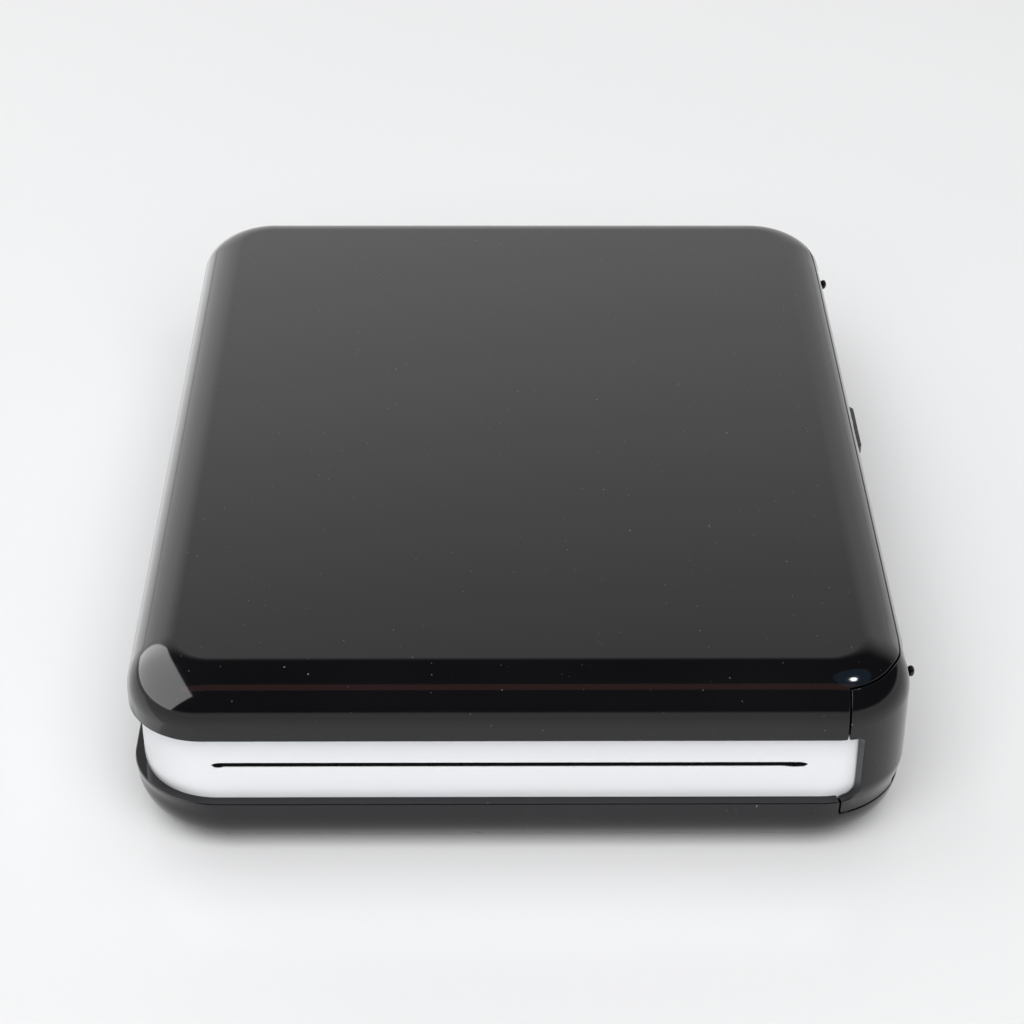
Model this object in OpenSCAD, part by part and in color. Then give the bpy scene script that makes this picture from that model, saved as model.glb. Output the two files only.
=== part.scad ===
// Compact photo printer: a flat box with softly rounded edges, a gloss top cover,
// a white middle band set back behind a ledge, a narrow print exit at the front
// and a door that wraps the whole right side and swings down for the cassette.
// X runs to the right, Y to the back, Z up. The origin is the middle of the
// footprint on the table.

/* [Case] */
// Width of the case across the print exit
body_w = 102; // [98:1:112]
// Depth of the case from front to back
body_d = 132; // [130:1:142]
// Height of the case above the table
body_h = 27.5; // [27:0.5:31]
// Radius of the corners seen from above
corner_r = 12; // [11.5:0.1:12.5]
// Radius of the rounding round the top
top_r = 6.6; // [6:0.1:7]
// Radius of the rounding round the bottom
bottom_r = 6.1; // [5.8:0.1:6.2]
// Gap between the case and the table
foot_gap = 0.4; // [0.3:0.1:0.6]
// Thickness of the covers
wall = 1.6; // [1.5:0.1:1.7]

/* [Band] */
// Height of the ledge below the band
ledge_z = 8.7; // [8.4:0.1:8.9]
// How far the top cover's lower edge is below the top
lip_drop = 8.5; // [8.2:0.1:8.7]
// How far the band is set back
band_inset = 1.5; // [1.4:0.05:1.55]
// Thickness of the band
band_t = 1.5; // [1.3:0.1:1.6]
// Height of the tongues that fit inside the covers
tongue_h = 1.8; // [1.4:0.1:1.8]
// How much narrower than the case the print exit is
exit_less = 25; // [24:0.5:26]
// Height of the print exit
exit_h = 0.7; // [0.6:0.1:1]
// Middle of the print exit, left of the case's middle
exit_x = -1.2; // [-1.5:0.1:0]
// Height of the paper path
paper_z = 14; // [13.8:0.1:14.2]

/* [Door] */
// Length of the door's wings from the right side
wing_l = 9; // [8.5:0.1:9.5]
// How far the door's top edge is below the top
door_drop = 2.6; // [2.4:0.1:2.8]
// Height of the wings' lower edge
wing_z = 7.05; // [7:0.05:7.1]
// Thickness of the door
door_t = 1.3; // [1.1:0.1:1.4]
// Thickness of the door's thin top lip
door_lip_t = 0.65; // [0.5:0.05:0.7]
// Height of the door's thin top lip
door_lip_h = 2.9; // [2.6:0.1:3.2]
// Radius of the hinge barrel
barrel_r = 1; // [0.9:0.05:1]
// Radius of the hinge pins
hinge_pin_r = 0.45; // [0.4:0.01:0.5]
// Length of each hinge pin
hinge_pin_l = 14; // [13:0.5:16]
// Distance of each hinge's middle from the case's end
hinge_in = 25; // [25:0.5:28]
// Distance of the window's end from the right side
window_in = 6.7; // [6.2:0.1:7]
// Length of the finger bar on the door
bar_l = 12.5; // [11:0.5:13]
// Height of the finger bar
bar_h = 1.6; // [1.4:0.1:1.7]
// How far the bar and the pips stand out
proud = 0.9; // [0.7:0.1:1.1]
// Travel of the finger bar
bar_travel = 5; // [4:0.5:5]

/* [Cassette bay] */
// Distance of the bay's floor behind the print head's pivot
bay_gap = 8; // [8:0.5:9]
// Distance of the bay's floor from the rear
bay_rear = 19; // [18.5:0.5:20]
// Distance of the opening's ends from the case's ends
mouth_in = 20; // [19.5:0.5:21]
// Lower edge of the opening
mouth_z0 = 9.3; // [9.2:0.1:9.5]
// How far the opening's upper edge is below the top
mouth_drop = 4.5; // [4.5:0.1:4.7]
// Thickness of the bay's floor
floor_t = 0.8; // [0.6:0.1:0.9]

/* [Print mechanism] */
// Distance of the side plates from the case's sides
frame_in = 10; // [9.8:0.1:10]
// Thickness of the side plates
plate_t = 1; // [0.8:0.1:1]
// Distance from the drive roller to the platen roller
platen_gap = 12; // [11.8:0.1:12.2]
// Radius of the platen roller
platen_r = 3.6; // [3.4:0.1:3.7]
// Distance of the drive roller from the front
drive_in = 10; // [9.8:0.1:10.2]
// Radius of the drive roller
drive_r = 1.9; // [1.8:0.05:2]
// Gap between the rollers for the paper
nip = 0.3; // [0.2:0.05:0.4]
// Gap between the rollers' ends and the side plates
roller_gap = 1; // [0.8:0.1:1.5]
// Distance from the platen roller to the print head's pivot
pivot_gap = 16; // [15.5:0.1:16.5]
// Height of the print head's pivot
pivot_z = 18.5; // [18.3:0.1:18.8]
// Lift of the parked print head off the platen
head_lift = 0.9; // [0.85:0.05:1.1]
// Distance from the platen roller to the motor's shaft
motor_gap = 13; // [12.8:0.1:13.3]
// Height of the motor's shaft
motor_z = 7.8; // [7.6:0.1:8]
// Radius of the motor
motor_r = 5.4; // [5:0.1:5.5]
// Length of the motor
motor_l = 20; // [16:1:24]

/* [Gears] */
// Module of every gear
gear_m = 0.5; // [0.48:0.01:0.52]
// Width of every gear
gear_t = 2; // [1.6:0.1:2]
// Teeth of the motor's pinion
pinion_n = 10; // [10:1:11]
// Teeth of the front idler
front_n = 26; // [26:1:27]
// Teeth of the rear idler
rear_n = 24; // [24:1:25]
// Teeth of the platen's gear
platen_n = 16; // [16:1:17]
// Teeth of the small idler
small_n = 12; // [12:1:13]
// Teeth of the drive roller's gear
drive_n = 14; // [14:1:15]
// Teeth of the take-up gear
takeup_n = 28; // [27:1:29]
// Gap between the rear idler and the case's floor
idler_gap = 0.55; // [0.4:0.05:0.6]
// Distance of the supply hub from the bay's back end
supply_in = 15; // [12:1:18]
// How far the hubs are below the bay's middle height
hub_drop = 1.1; // [1:0.1:1.3]

/* [Rear] */
// Radius of the power button
button_r = 3; // [2.6:0.1:3.2]
// Distance of the power button from the left side
button_in = 21; // [20:1:23]
// Travel of the power button
button_travel = 0.5; // [0.3:0.1:0.5]
// Width of the charging socket
usb_w = 9; // [8.8:0.1:9.2]
// Height of the charging socket
usb_h = 3.2; // [3:0.1:3.4]
// Place of the charging socket
usb_x = 20; // [16:1:24]
// Height of the main board's underside
board_z = 8.6; // [8.4:0.1:8.8]
// Thickness of the main board
board_t = 1.2; // [1:0.1:1.4]

/* [Fits] */
// Seam between the door and the covers
seam = 0.25; // [0.2:0.05:0.3]
// Gap over the door's top edge
top_seam = 0.35; // [0.35:0.05:0.45]
// Radial clearance of a running shaft
run_fit = 0.05; // [0.03:0.01:0.08]
// Radial clearance of a fixed pin
fixed_fit = 0.02; // [0.01:0.01:0.03]
// Gap beside a moving piece
gap = 0.2; // [0.15:0.05:0.25]
// Clearance between nested shells
nest = 0.1; // [0.05:0.05:0.15]

/* [Hidden] */
$fn = 48;

mid_x = -proud / 2; // the case's middle: the pips stand out on the right only
half_w = body_w / 2;
half_d = body_d / 2;
edge_x = half_w - corner_r;
edge_y = half_d - corner_r;
big = 2 * body_d;

lip_z = body_h - lip_drop;
exit_w = body_w - exit_less;
tongue_inset = wall + nest;
inner_inset = band_inset + band_t;
floor_z = foot_gap + wall;
ceiling_z = body_h - wall;
bend_z = body_h - top_r;
band_y = half_d - band_inset;

door_x = half_w - wing_l;
door_top_z = body_h - door_drop;
door_lip_z = door_top_z - door_lip_h;
window_x = half_w - window_in;
hinge_x = half_w - barrel_r;
hinge_z = wing_z + barrel_r - 0.15;
hinge_y = half_d - hinge_in;
base_top_z = wing_z - seam;
knuckle_l = 3;
knuckle_off = 3.5;
knuckles = [for (s = [-1, 1]) for (o = [-1, 1]) s * hinge_y + o * knuckle_off];
mouth_y = half_d - mouth_in;
mouth_z1 = body_h - mouth_drop;
keeper_y = half_d - 15.5;
keeper_z = (ledge_z + lip_z) / 2 + 1.15;
keeper_r = 1.8;

bar_y = 8.25;
bar_z = mouth_z1 - 3.2;
stem_w = 2.4;
stem_y = bar_y + 1.25;
plate_l = 4.25; // from the bar's middle to the end of its two plates
pip_r = 0.75;
door_pips_y = [-half_d + 12, half_d - 14];
door_pip_z = door_top_z - 3.7;
case_pip_y = half_d - 13;
case_pip_r = 0.6;
case_pip_z = base_top_z - 0.8;

plate_x = half_w - frame_in;
inside_x = plate_x - plate_t;
roller_l = 2 * (inside_x - roller_gap);
gear_x = plate_x + 0.5;
shaft_end = gear_x + gear_t + nest;
front_y = -half_d + bottom_r;
plate_top = (pivot_z + ceiling_z) / 2 + 0.3;
tray_t = 0.8;

drive_y = -half_d + drive_in;
platen_y = drive_y + platen_gap;
pivot_y = platen_y + pivot_gap;
motor_y = platen_y + motor_gap;
bay_y0 = pivot_y + bay_gap;
bay_y1 = half_d - bay_rear;

platen_z = paper_z - platen_r;
drive_z = paper_z - 0.1 - drive_r;
pinch_r = 1.9;
pinch_z = paper_z + nip + pinch_r;
head_z = paper_z + head_lift;
head_t = 1;
sink_t = 3.1;
arm_z = head_z + head_t + sink_t;
arm_t = 1;
arm_x = inside_x - 3;
arm_hub_r = 2.6;
head_w = roller_l - 2;
head_reach = 6; // of the heat sink and the arm before and behind the platen's middle
head_d = 9;
connector_w = 18;
connector_d = 2.5;
connector_z = head_z + 1.8;
connector_h = 2.2;
spring_x = inside_x - 15;
spring_r = 2.2;
wire_r = 0.35;

screw_x = half_w - 5.4;
screw_y = half_d - 9.5;
boss_r = 1.8;
boss_top = 12;
foot_x = half_w - 13;
foot_y = half_d - 16;
foot_r = 4;
foot_t = 1.2;
bolt_x = inside_x - 10;
bolt_y = [drive_y - 1, platen_y - 6];

button_x = -half_w + button_in;
button_z = (ledge_z + lip_z) / 2;
pipe_x = button_x + 10;
pipe_r = 1;
usb_l = 7.8;

board_w = 2 * inside_x;
board_d = 12.5;
board_y1 = half_d - 4.5;
board_y0 = board_y1 - board_d;
board_top = board_z + board_t;
post_x = inside_x - 4;
post_y = board_y1 - 6;
parts_y = board_y0 + 1.5; // where the larger parts on the board start
chip_w = 8;
chip_x = -1;
memory_w = 5;
plug_w = 4;
radio_x = 5;
radio_w = 9;
radio_d = 10;
radio_t = 1.8;
small_x = -25; // where the row of small parts starts
small_pitch = 2.4;
tank_r = 1.6;
tank_h = 4.5;
tank_x = [-18, -14.4];
tank_y = board_y1 - 5;

battery_x = [-12, half_w - 7];
battery_y = [bay_y0 + 4, bay_y1 - 9];
battery_t = 5.2;
battery_cap = 2.5; // length of the cell's connector end
pad_in = 6; // how much smaller the pad is on each side
lead_x = [14, 16];
lead_r = 0.55;

// ---- gear layout in the plane of the left plate: [y, z] ----
function pitch(n) = gear_m * n / 2;
function tip_r(n) = pitch(n) + 0.8 * gear_m;
// The level part of a distance r that rises by h
function level(r, h) = sqrt(r * r - h * h);
function bearing(a, b) = atan2(b[1] - a[1], b[0] - a[0]);
// The point at ra from a and rb from b, on the side that s gives
function meet(a, ra, b, rb, s) = let (d = norm(b - a), u = (b - a) / d,
    x = (ra * ra - rb * rb + d * d) / (2 * d), h = sqrt(ra * ra - x * x))
    a + u * x + [-u[1], u[0]] * h * s;
// The turn that puts gear b's gap on gear a's tooth
function in_mesh(a, na, ta, b, nb) = let (w = bearing(a, b)) w + 180 + (180 - (ta - w) * na) / nb;

motor_at = [motor_y, motor_z];
platen_at = [platen_y, platen_z];
drive_at = [drive_y, drive_z];
front_at = meet(motor_at, pitch(pinion_n + front_n), platen_at, pitch(front_n + platen_n), -1);
small_at = meet(platen_at, pitch(platen_n + small_n), drive_at, pitch(small_n + drive_n), 1);
rear_z = floor_z + idler_gap + tip_r(rear_n);
rear_at = [motor_y + level(pitch(pinion_n + rear_n), rear_z - motor_z), rear_z];
hub_z = (mouth_z0 + ceiling_z) / 2 - hub_drop;
takeup_at = [rear_at[0] + level(pitch(rear_n + takeup_n), hub_z - rear_z), hub_z];
supply_at = [bay_y1 - supply_in, hub_z];
motor_turn = 0;
front_turn = in_mesh(motor_at, pinion_n, motor_turn, front_at, front_n);
platen_turn = in_mesh(front_at, front_n, front_turn, platen_at, platen_n);
small_turn = in_mesh(platen_at, platen_n, platen_turn, small_at, small_n);
drive_turn = in_mesh(small_at, small_n, small_turn, drive_at, drive_n);
rear_turn = in_mesh(motor_at, pinion_n, motor_turn, rear_at, rear_n);
takeup_turn = in_mesh(rear_at, rear_n, rear_turn, takeup_at, takeup_n);

shaft_r = 1.5;
journal_r = 1.2;
pinch_shaft_r = 1;
post_r = 1;
motor_shaft_r = 0.75;
bush_t = 0.8;
bush_l = 1.6;
flange_r = 5;

// ---- shared forms ----
module at_body() {
    translate([mid_x, 0, 0]) children();
}

module block(x0, x1, y0, y1, z0, z1) {
    translate([x0, y0, z0]) cube([x1 - x0, y1 - y0, z1 - z0]);
}

module rod(r, x0, x1, at) {
    translate([x0, at[0], at[1]]) rotate([0, 90, 0]) cylinder(r = r, h = x1 - x0);
}

module post(r, z0, z1, x, y) {
    translate([x, y, z0]) cylinder(r = r, h = z1 - z0);
}

module rod_y(r, y0, y1, x, z) {
    translate([x, y1, z]) rotate([90, 0, 0]) cylinder(r = r, h = y1 - y0);
}

// Half of the case's edge: k is the inset and reach the flat part inside it
module edge_2d(k, reach) {
    rt = top_r - k;
    rb = bottom_r - k;
    x1 = corner_r - k;
    z0 = foot_gap + k;
    z1 = body_h - k;
    intersection() {
        union() {
            translate([-reach, z0 + rb]) square([x1 + reach, z1 - rt - z0 - rb]);
            translate([-reach, z0]) square([x1 - rb + reach, z1 - z0]);
            translate([-reach, z0 + rb]) square([x1 - rt + reach, z1 - z0 - rb]);
            translate([x1 - rb, z0 + rb]) circle(r = rb);
            translate([x1 - rt, z1 - rt]) circle(r = rt);
        }
        translate([-reach, z0]) square([x1 + reach, z1 - z0]);
    }
}

// The whole case as a solid, set in by k all round
module skin(k) {
    for (sx = [-1, 1]) for (sy = [-1, 1])
        translate([sx * edge_x, sy * edge_y, 0]) rotate_extrude() edge_2d(k, 0);
    for (s = [0, 1]) mirror([s, 0, 0])
        translate([edge_x, edge_y, 0]) rotate([90, 0, 0])
            linear_extrude(2 * edge_y) edge_2d(k, edge_x);
    for (s = [0, 1]) mirror([0, s, 0])
        translate([-edge_x, edge_y, 0]) rotate([90, 0, 90])
            linear_extrude(2 * edge_x) edge_2d(k, edge_y);
}

module shell(k0, k1) {
    difference() {
        skin(k0);
        skin(k1);
    }
}

module slab(x0, z0, z1) {
    block(x0, big, -big, big, z0, z1);
}

module bush(r, x0, at) {
    difference() {
        rod(r + bush_t, x0, x0 + bush_l, at);
        rod(r + run_fit, x0 - 1, x0 + bush_l + 1, at);
    }
}

module bush_pair(r, at) {
    for (x = [-plate_x - 0.2, plate_x + 0.2 - bush_l]) bush(r, x, at);
}

module bush_holes(r, at) {
    rod(r + bush_t + fixed_fit, -big, big, at);
}

module gear(n, at, turn, bore) {
    tip = tip_r(n);
    root = pitch(n) - 1.15 * gear_m;
    s = 360 / n;
    translate([-gear_x - gear_t, at[0], at[1]]) rotate([90, 0, 90]) difference() {
        linear_extrude(gear_t) polygon([for (i = [0 : n - 1]) for (q = [[root, -0.3], [tip, -0.11],
            [tip, 0.11], [root, 0.3]]) q[0] * [cos(turn + (i + q[1]) * s), sin(turn + (i + q[1]) * s)]]);
        translate([0, 0, -1]) cylinder(r = bore, h = gear_t + 2);
    }
}

module coil(r, w, h, turns) {
    steps = 16;
    sides = 6;
    n = turns * steps;
    pts = [for (i = [0 : n]) for (j = [0 : sides - 1]) let (a = i * 360 / steps, q = j * 360 / sides,
        d = r + w * cos(q)) [d * cos(a), d * sin(a), w + (h - 2 * w) * i / n + w * sin(q)]];
    caps = [[for (j = [0 : sides - 1]) j], [for (j = [sides - 1 : -1 : 0]) n * sides + j]];
    skins = [for (i = [0 : n - 1]) for (j = [0 : sides - 1]) let (k = (j + 1) % sides)
        each [[i * sides + j, (i + 1) * sides + j, (i + 1) * sides + k],
              [i * sides + j, (i + 1) * sides + k, i * sides + k]]];
    polyhedron(points = pts, faces = concat(caps, skins));
}

// ---- case ----
module top_cover() {
    at_body() color([0.10, 0.10, 0.11]) difference() {
        union() {
            intersection() {
                shell(0, wall);
                union() {
                    block(-big, door_x, -big, big, lip_z, big);
                    block(door_x - 1, big, -big, big, door_top_z + top_seam, big);
                }
            }
            intersection() {
                shell(wall, inner_inset);
                slab(door_x - 2, bend_z, big);
            }
            for (sx = [-1, 1]) for (sy = [-1, 1])
                post(boss_r, boss_top + gap, ceiling_z + 0.5, sx * screw_x, sy * screw_y);
            for (sx = [-1, 1])
                post(spring_r - wire_r - 0.3, ceiling_z - 2, ceiling_z + 0.5, sx * spring_x, platen_y);
        }
        block(door_x, big, -mouth_y, mouth_y, 0, mouth_z1);
        for (sx = [-1, 1]) for (sy = [-1, 1])
            post(0.8, 0, boss_top + 6, sx * screw_x, sy * screw_y);
    }
}

module bottom_cover() {
    at_body() color([0.11, 0.11, 0.12]) difference() {
        union() {
            difference() {
                intersection() {
                    shell(0, wall);
                    union() {
                        block(-big, door_x, -big, big, 0, ledge_z);
                        block(door_x - 1, big, -big, big, 0, base_top_z);
                    }
                }
                rod_y(barrel_r + gap, -big, big, hinge_x, hinge_z);
            }
            for (y = knuckles) {
                rod_y(barrel_r, y - knuckle_l / 2, y + knuckle_l / 2, hinge_x, hinge_z);
                block(half_w - wall, hinge_x + barrel_r / 2, y - knuckle_l / 2, y + knuckle_l / 2,
                    base_top_z - 0.7, hinge_z);
            }
            for (sx = [-1, 1]) for (sy = [-1, 1]) {
                post(boss_r, floor_z - 0.5, boss_top, sx * screw_x, sy * screw_y);
                post(boss_r + 0.8, floor_z - 0.8, floor_z + 2, sx * screw_x, sy * screw_y);
            }
            for (sx = [-1, 1])
                post(2.2, floor_z - 0.5, board_z, sx * post_x, post_y);
        }
        for (y = knuckles)
            rod_y(hinge_pin_r + fixed_fit, y - knuckle_l, y + knuckle_l, hinge_x, hinge_z);
        for (sx = [-1, 1]) for (sy = [-1, 1]) {
            post(1.1, 0, big, sx * screw_x, sy * screw_y);
            post(1.9, -1, floor_z + 0.4, sx * screw_x, sy * screw_y);
            post(foot_r + fixed_fit, -1, foot_t, sx * foot_x, sy * foot_y);
        }
        for (sy = [-1, 1])
            translate([half_w - 1, sy * case_pip_y, case_pip_z]) rotate([0, 90, 0])
                cylinder(r = case_pip_r, h = 3);
        for (sx = [-1, 1]) {
            post(0.7, floor_z + 1, big, sx * post_x, post_y);
            for (y = bolt_y) post(0.7, floor_z - 1, big, sx * bolt_x, y);
        }
    }
}

module middle_band() {
    at_body() color([0.93, 0.93, 0.94]) difference() {
        union() {
            intersection() {
                shell(band_inset, inner_inset);
                slab(-big, ledge_z, lip_z);
            }
            intersection() {
                shell(tongue_inset, inner_inset);
                slab(-big, ledge_z - 2, lip_z + tongue_h);
            }
        }
        block(exit_x - exit_w / 2, exit_x + exit_w / 2, -big, -edge_y,
            paper_z - exit_h / 2, paper_z + exit_h / 2);
        for (s = [-1, 1])
            rod_y(0.5, -big, -edge_y, exit_x + s * exit_w / 2, paper_z - 0.15);
        block(door_x, big, -mouth_y, mouth_y, mouth_z0, big);
        rod_y(barrel_r + gap + 0.05, -big, big, hinge_x, hinge_z);
        for (s = [-1, 1])
            translate([half_w - band_inset - 1.2, s * keeper_y, keeper_z]) rotate([0, 90, 0])
                cylinder(r = keeper_r + fixed_fit, h = 3);
        rod_y(button_r + nest, edge_y, big, button_x, button_z);
        rod_y(pipe_r + fixed_fit, edge_y, big, pipe_x, button_z);
        block(usb_x - usb_w / 2 + usb_h / 2, usb_x + usb_w / 2 - usb_h / 2, edge_y, big,
            board_top - nest, board_top + usb_h + nest);
        for (s = [-1, 1])
            rod_y(usb_h / 2 + nest, edge_y, big, usb_x + s * (usb_w - usb_h) / 2, board_top + usb_h / 2);
    }
}

module window_2d() {
    x0 = door_x - 1;
    low_r = 2.4;
    high_r = 0.8;
    translate([x0, ledge_z]) square([window_x - low_r - x0, lip_z - ledge_z]);
    translate([x0, ledge_z + low_r]) square([window_x - x0, lip_z - ledge_z - low_r - high_r]);
    translate([x0, lip_z - 2 * high_r]) square([window_x - high_r - x0, 2 * high_r]);
    translate([window_x - low_r, ledge_z + low_r]) circle(r = low_r);
    translate([window_x - high_r, lip_z - high_r]) circle(r = high_r);
}

module side_door() {
    x0 = door_x + seam;
    at_body() color([0.10, 0.10, 0.11]) difference() {
        union() {
            intersection() {
                shell(0, door_t);
                union() {
                    slab(x0, hinge_z, door_lip_z);
                    block(x0, hinge_x - barrel_r - gap, -big, big, wing_z, hinge_z + 1);
                    rod_y(barrel_r, -big, big, hinge_x, hinge_z);
                }
            }
            intersection() {
                shell(0, door_lip_t);
                slab(x0, door_lip_z - 1, door_top_z);
            }
            rod_y(barrel_r, -edge_y + 2, edge_y - 2, hinge_x, hinge_z);
        }
        translate([0, big, 0]) rotate([90, 0, 0]) linear_extrude(2 * big) window_2d();
        for (y = knuckles) {
            rod_y(barrel_r + gap, y - knuckle_l / 2 - gap, y + knuckle_l / 2 + gap, hinge_x, hinge_z);
            block(hinge_x - barrel_r - gap, big, y - knuckle_l / 2 - gap, y + knuckle_l / 2 + gap,
                0, hinge_z);
        }
        for (s = [-1, 1]) {
            rod_y(hinge_pin_r + run_fit, s * hinge_y - hinge_pin_l / 2 - gap,
                s * hinge_y + hinge_pin_l / 2 + gap, hinge_x, hinge_z);
            translate([half_w - door_t - 1, s * keeper_y, keeper_z]) rotate([0, 90, 0])
                cylinder(r = keeper_r + fixed_fit, h = 1.6);
        }
        for (y = door_pips_y)
            translate([half_w - 0.5, y, door_pip_z]) rotate([0, 90, 0]) cylinder(r = pip_r, h = 3);
        block(door_x, big, stem_y - stem_w / 2 - bar_travel - nest, stem_y + stem_w / 2 + nest,
            bar_z - 0.55, bar_z + 0.55);
    }
}

module door_bar() {
    ramp = 1.1;
    at_body() color([0.09, 0.09, 0.10]) {
        translate([half_w, bar_y, bar_z - bar_h / 2]) linear_extrude(bar_h) polygon([
            [0.03, -bar_l / 2], [proud, -bar_l / 2 + ramp], [proud, bar_l / 2 - ramp], [0.03, bar_l / 2]]);
        block(half_w - wall - 0.1, half_w + 0.3, stem_y - stem_w / 2, stem_y + stem_w / 2,
            bar_z - 0.45, bar_z + 0.45);
        block(half_w - 2.1, half_w - door_t - nest, bar_y - 0.05, bar_y + plate_l, bar_z - 1.2, bar_z + 1.2);
        block(half_w - 2.8, half_w - 2.2, bar_y - plate_l - 0.8, bar_y + plate_l, bar_z - 1, bar_z + 1);
        block(half_w - 2.8, half_w - 2, bar_y + 0.5, bar_y + plate_l, bar_z - 1, bar_z + 1);
    }
}

module door_pips() {
    at_body() color([0.09, 0.09, 0.10]) for (y = door_pips_y)
        translate([half_w - 0.5, y, door_pip_z]) rotate([0, 90, 0]) cylinder(r = pip_r, h = proud + 0.5);
}

module case_pips() {
    at_body() color([0.09, 0.09, 0.10]) for (s = [-1, 1])
        translate([half_w - 1, s * case_pip_y, case_pip_z]) rotate([0, 90, 0])
            cylinder(r = case_pip_r, h = proud + 1);
}

module hinge_pins() {
    at_body() color([0.70, 0.70, 0.72]) for (s = [-1, 1])
        rod_y(hinge_pin_r, s * hinge_y - hinge_pin_l / 2, s * hinge_y + hinge_pin_l / 2, hinge_x, hinge_z);
}

module door_keepers() {
    at_body() color([0.65, 0.65, 0.67]) for (s = [-1, 1])
        translate([half_w - door_t, s * keeper_y, keeper_z]) rotate([0, 90, 0])
            cylinder(r = keeper_r, h = 0.6);
}

module band_magnets() {
    at_body() color([0.55, 0.55, 0.58]) for (s = [-1, 1])
        translate([half_w - band_inset - 1.2, s * keeper_y, keeper_z]) rotate([0, 90, 0])
            cylinder(r = keeper_r, h = 1.1);
}

module bar_keeper() {
    at_body() color([0.70, 0.70, 0.72]) {
        block(half_w - 2.05, half_w - 1.65, -4, bar_y - 5.75, bar_z - 2, mouth_z1);
        block(half_w - 4.5, half_w - 1.65, -4, bar_y - 5.75, mouth_z1 - 0.4, mouth_z1);
    }
}

module feet() {
    at_body() color([0.16, 0.16, 0.17]) for (sx = [-1, 1]) for (sy = [-1, 1])
        post(foot_r, 0, foot_t, sx * foot_x, sy * foot_y);
}

module case_screws() {
    at_body() color([0.35, 0.35, 0.37]) for (sx = [-1, 1]) for (sy = [-1, 1])
        difference() {
            union() {
                post(1.7, floor_z - 0.6, floor_z + 0.4, sx * screw_x, sy * screw_y);
                post(0.78, floor_z + 0.3, boss_top + 5, sx * screw_x, sy * screw_y);
            }
            translate([sx * screw_x, sy * screw_y, floor_z - 1]) cylinder(r = 0.8, h = 0.9, $fn = 6);
        }
}

// ---- rear controls ----
module power_button() {
    at_body() color([0.85, 0.85, 0.86]) {
        rod_y(button_r, band_y - band_t - 0.3, band_y + 0.4, button_x, button_z);
        rod_y(button_r + 0.7, band_y - band_t - 0.6, band_y - band_t - nest, button_x, button_z);
        rod_y(1, band_y - band_t - 1.4, band_y - band_t - 0.5, button_x, button_z);
    }
}

module light_pipe() {
    at_body() color([0.80, 0.88, 0.95]) {
        rod_y(pipe_r, band_y - 4, band_y + 0.1, pipe_x, button_z);
        post(pipe_r, board_top + 1.3, button_z, pipe_x, band_y - 4);
        translate([pipe_x, band_y - 4, button_z]) sphere(r = pipe_r);
    }
}

module charging_socket() {
    y0 = band_y - 0.2 - usb_l;
    at_body() color([0.70, 0.70, 0.72]) difference() {
        union() {
            block(usb_x - (usb_w - usb_h) / 2, usb_x + (usb_w - usb_h) / 2, y0, band_y - 0.2,
                board_top, board_top + usb_h);
            for (s = [-1, 1])
                rod_y(usb_h / 2, y0, band_y - 0.2, usb_x + s * (usb_w - usb_h) / 2, board_top + usb_h / 2);
        }
        difference() {
            union() {
                block(usb_x - (usb_w - usb_h) / 2, usb_x + (usb_w - usb_h) / 2, y0 + 1, big,
                    board_top + 0.3, board_top + usb_h - 0.3);
                for (s = [-1, 1])
                    rod_y(usb_h / 2 - 0.3, y0 + 1, big, usb_x + s * (usb_w - usb_h) / 2,
                        board_top + usb_h / 2);
            }
            block(usb_x - usb_w / 2 + 1.2, usb_x + usb_w / 2 - 1.2, y0, band_y - 0.7,
                board_top + usb_h / 2 - 0.35, board_top + usb_h / 2 + 0.35);
        }
    }
}

module power_switch() {
    y1 = band_y - band_t - 1.4 - button_travel - 0.05;
    at_body() color([0.25, 0.25, 0.27]) {
        block(button_x - 3, button_x + 3, y1 - 4, y1 - 0.4, board_top, button_z + 2.2);
        rod_y(1.2, y1 - 1, y1, button_x, button_z);
    }
}

module status_lamp() {
    at_body() color([0.95, 0.95, 0.85])
        block(pipe_x - pipe_r, pipe_x + pipe_r, band_y - 4.6, band_y - 3.4, board_top, board_top + 1.1);
}

// ---- frame ----
module plate_holes() {
    bush_holes(shaft_r, platen_at);
    bush_holes(journal_r, drive_at);
    bush_holes(pinch_shaft_r, [drive_y, pinch_z]);
    rod(journal_r + fixed_fit, -big, big, [pivot_y, pivot_z]);
}

module left_plate() {
    at_body() color([0.72, 0.73, 0.75]) difference() {
        block(-plate_x, -inside_x, front_y, bay_y1, floor_z, plate_top);
        plate_holes();
        bush_holes(shaft_r, takeup_at);
        bush_holes(shaft_r, supply_at);
        rod(2, -big, 0, motor_at);
    }
}

module right_plate() {
    at_body() color([0.72, 0.73, 0.75]) difference() {
        block(inside_x, plate_x, front_y, bay_y0 - 2, floor_z, plate_top);
        plate_holes();
    }
}

module base_tray() {
    at_body() color([0.66, 0.67, 0.69]) difference() {
        block(-inside_x, inside_x, front_y, platen_y + 5, floor_z, floor_z + tray_t);
        for (sx = [-1, 1]) for (y = bolt_y) post(1.1, 0, big, sx * bolt_x, y);
    }
}

module bay_floor() {
    at_body() color([0.30, 0.30, 0.32]) difference() {
        union() {
            block(-inside_x, half_w - inner_inset, bay_y0, bay_y1, mouth_z0 - 0.2 - floor_t,
                mouth_z0 - 0.2);
            block(-inside_x, half_w - inner_inset - 1, bay_y0, bay_y0 + 1, mouth_z0 - 0.5, mouth_z0 + 2.5);
            block(-inside_x, half_w - inner_inset - 1, bay_y1 - 1, bay_y1, mouth_z0 - 0.5, mouth_z0 + 8);
        }
        rod(shaft_r + bush_t + gap, -inside_x - 1, -inside_x + 2, takeup_at);
    }
}

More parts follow.
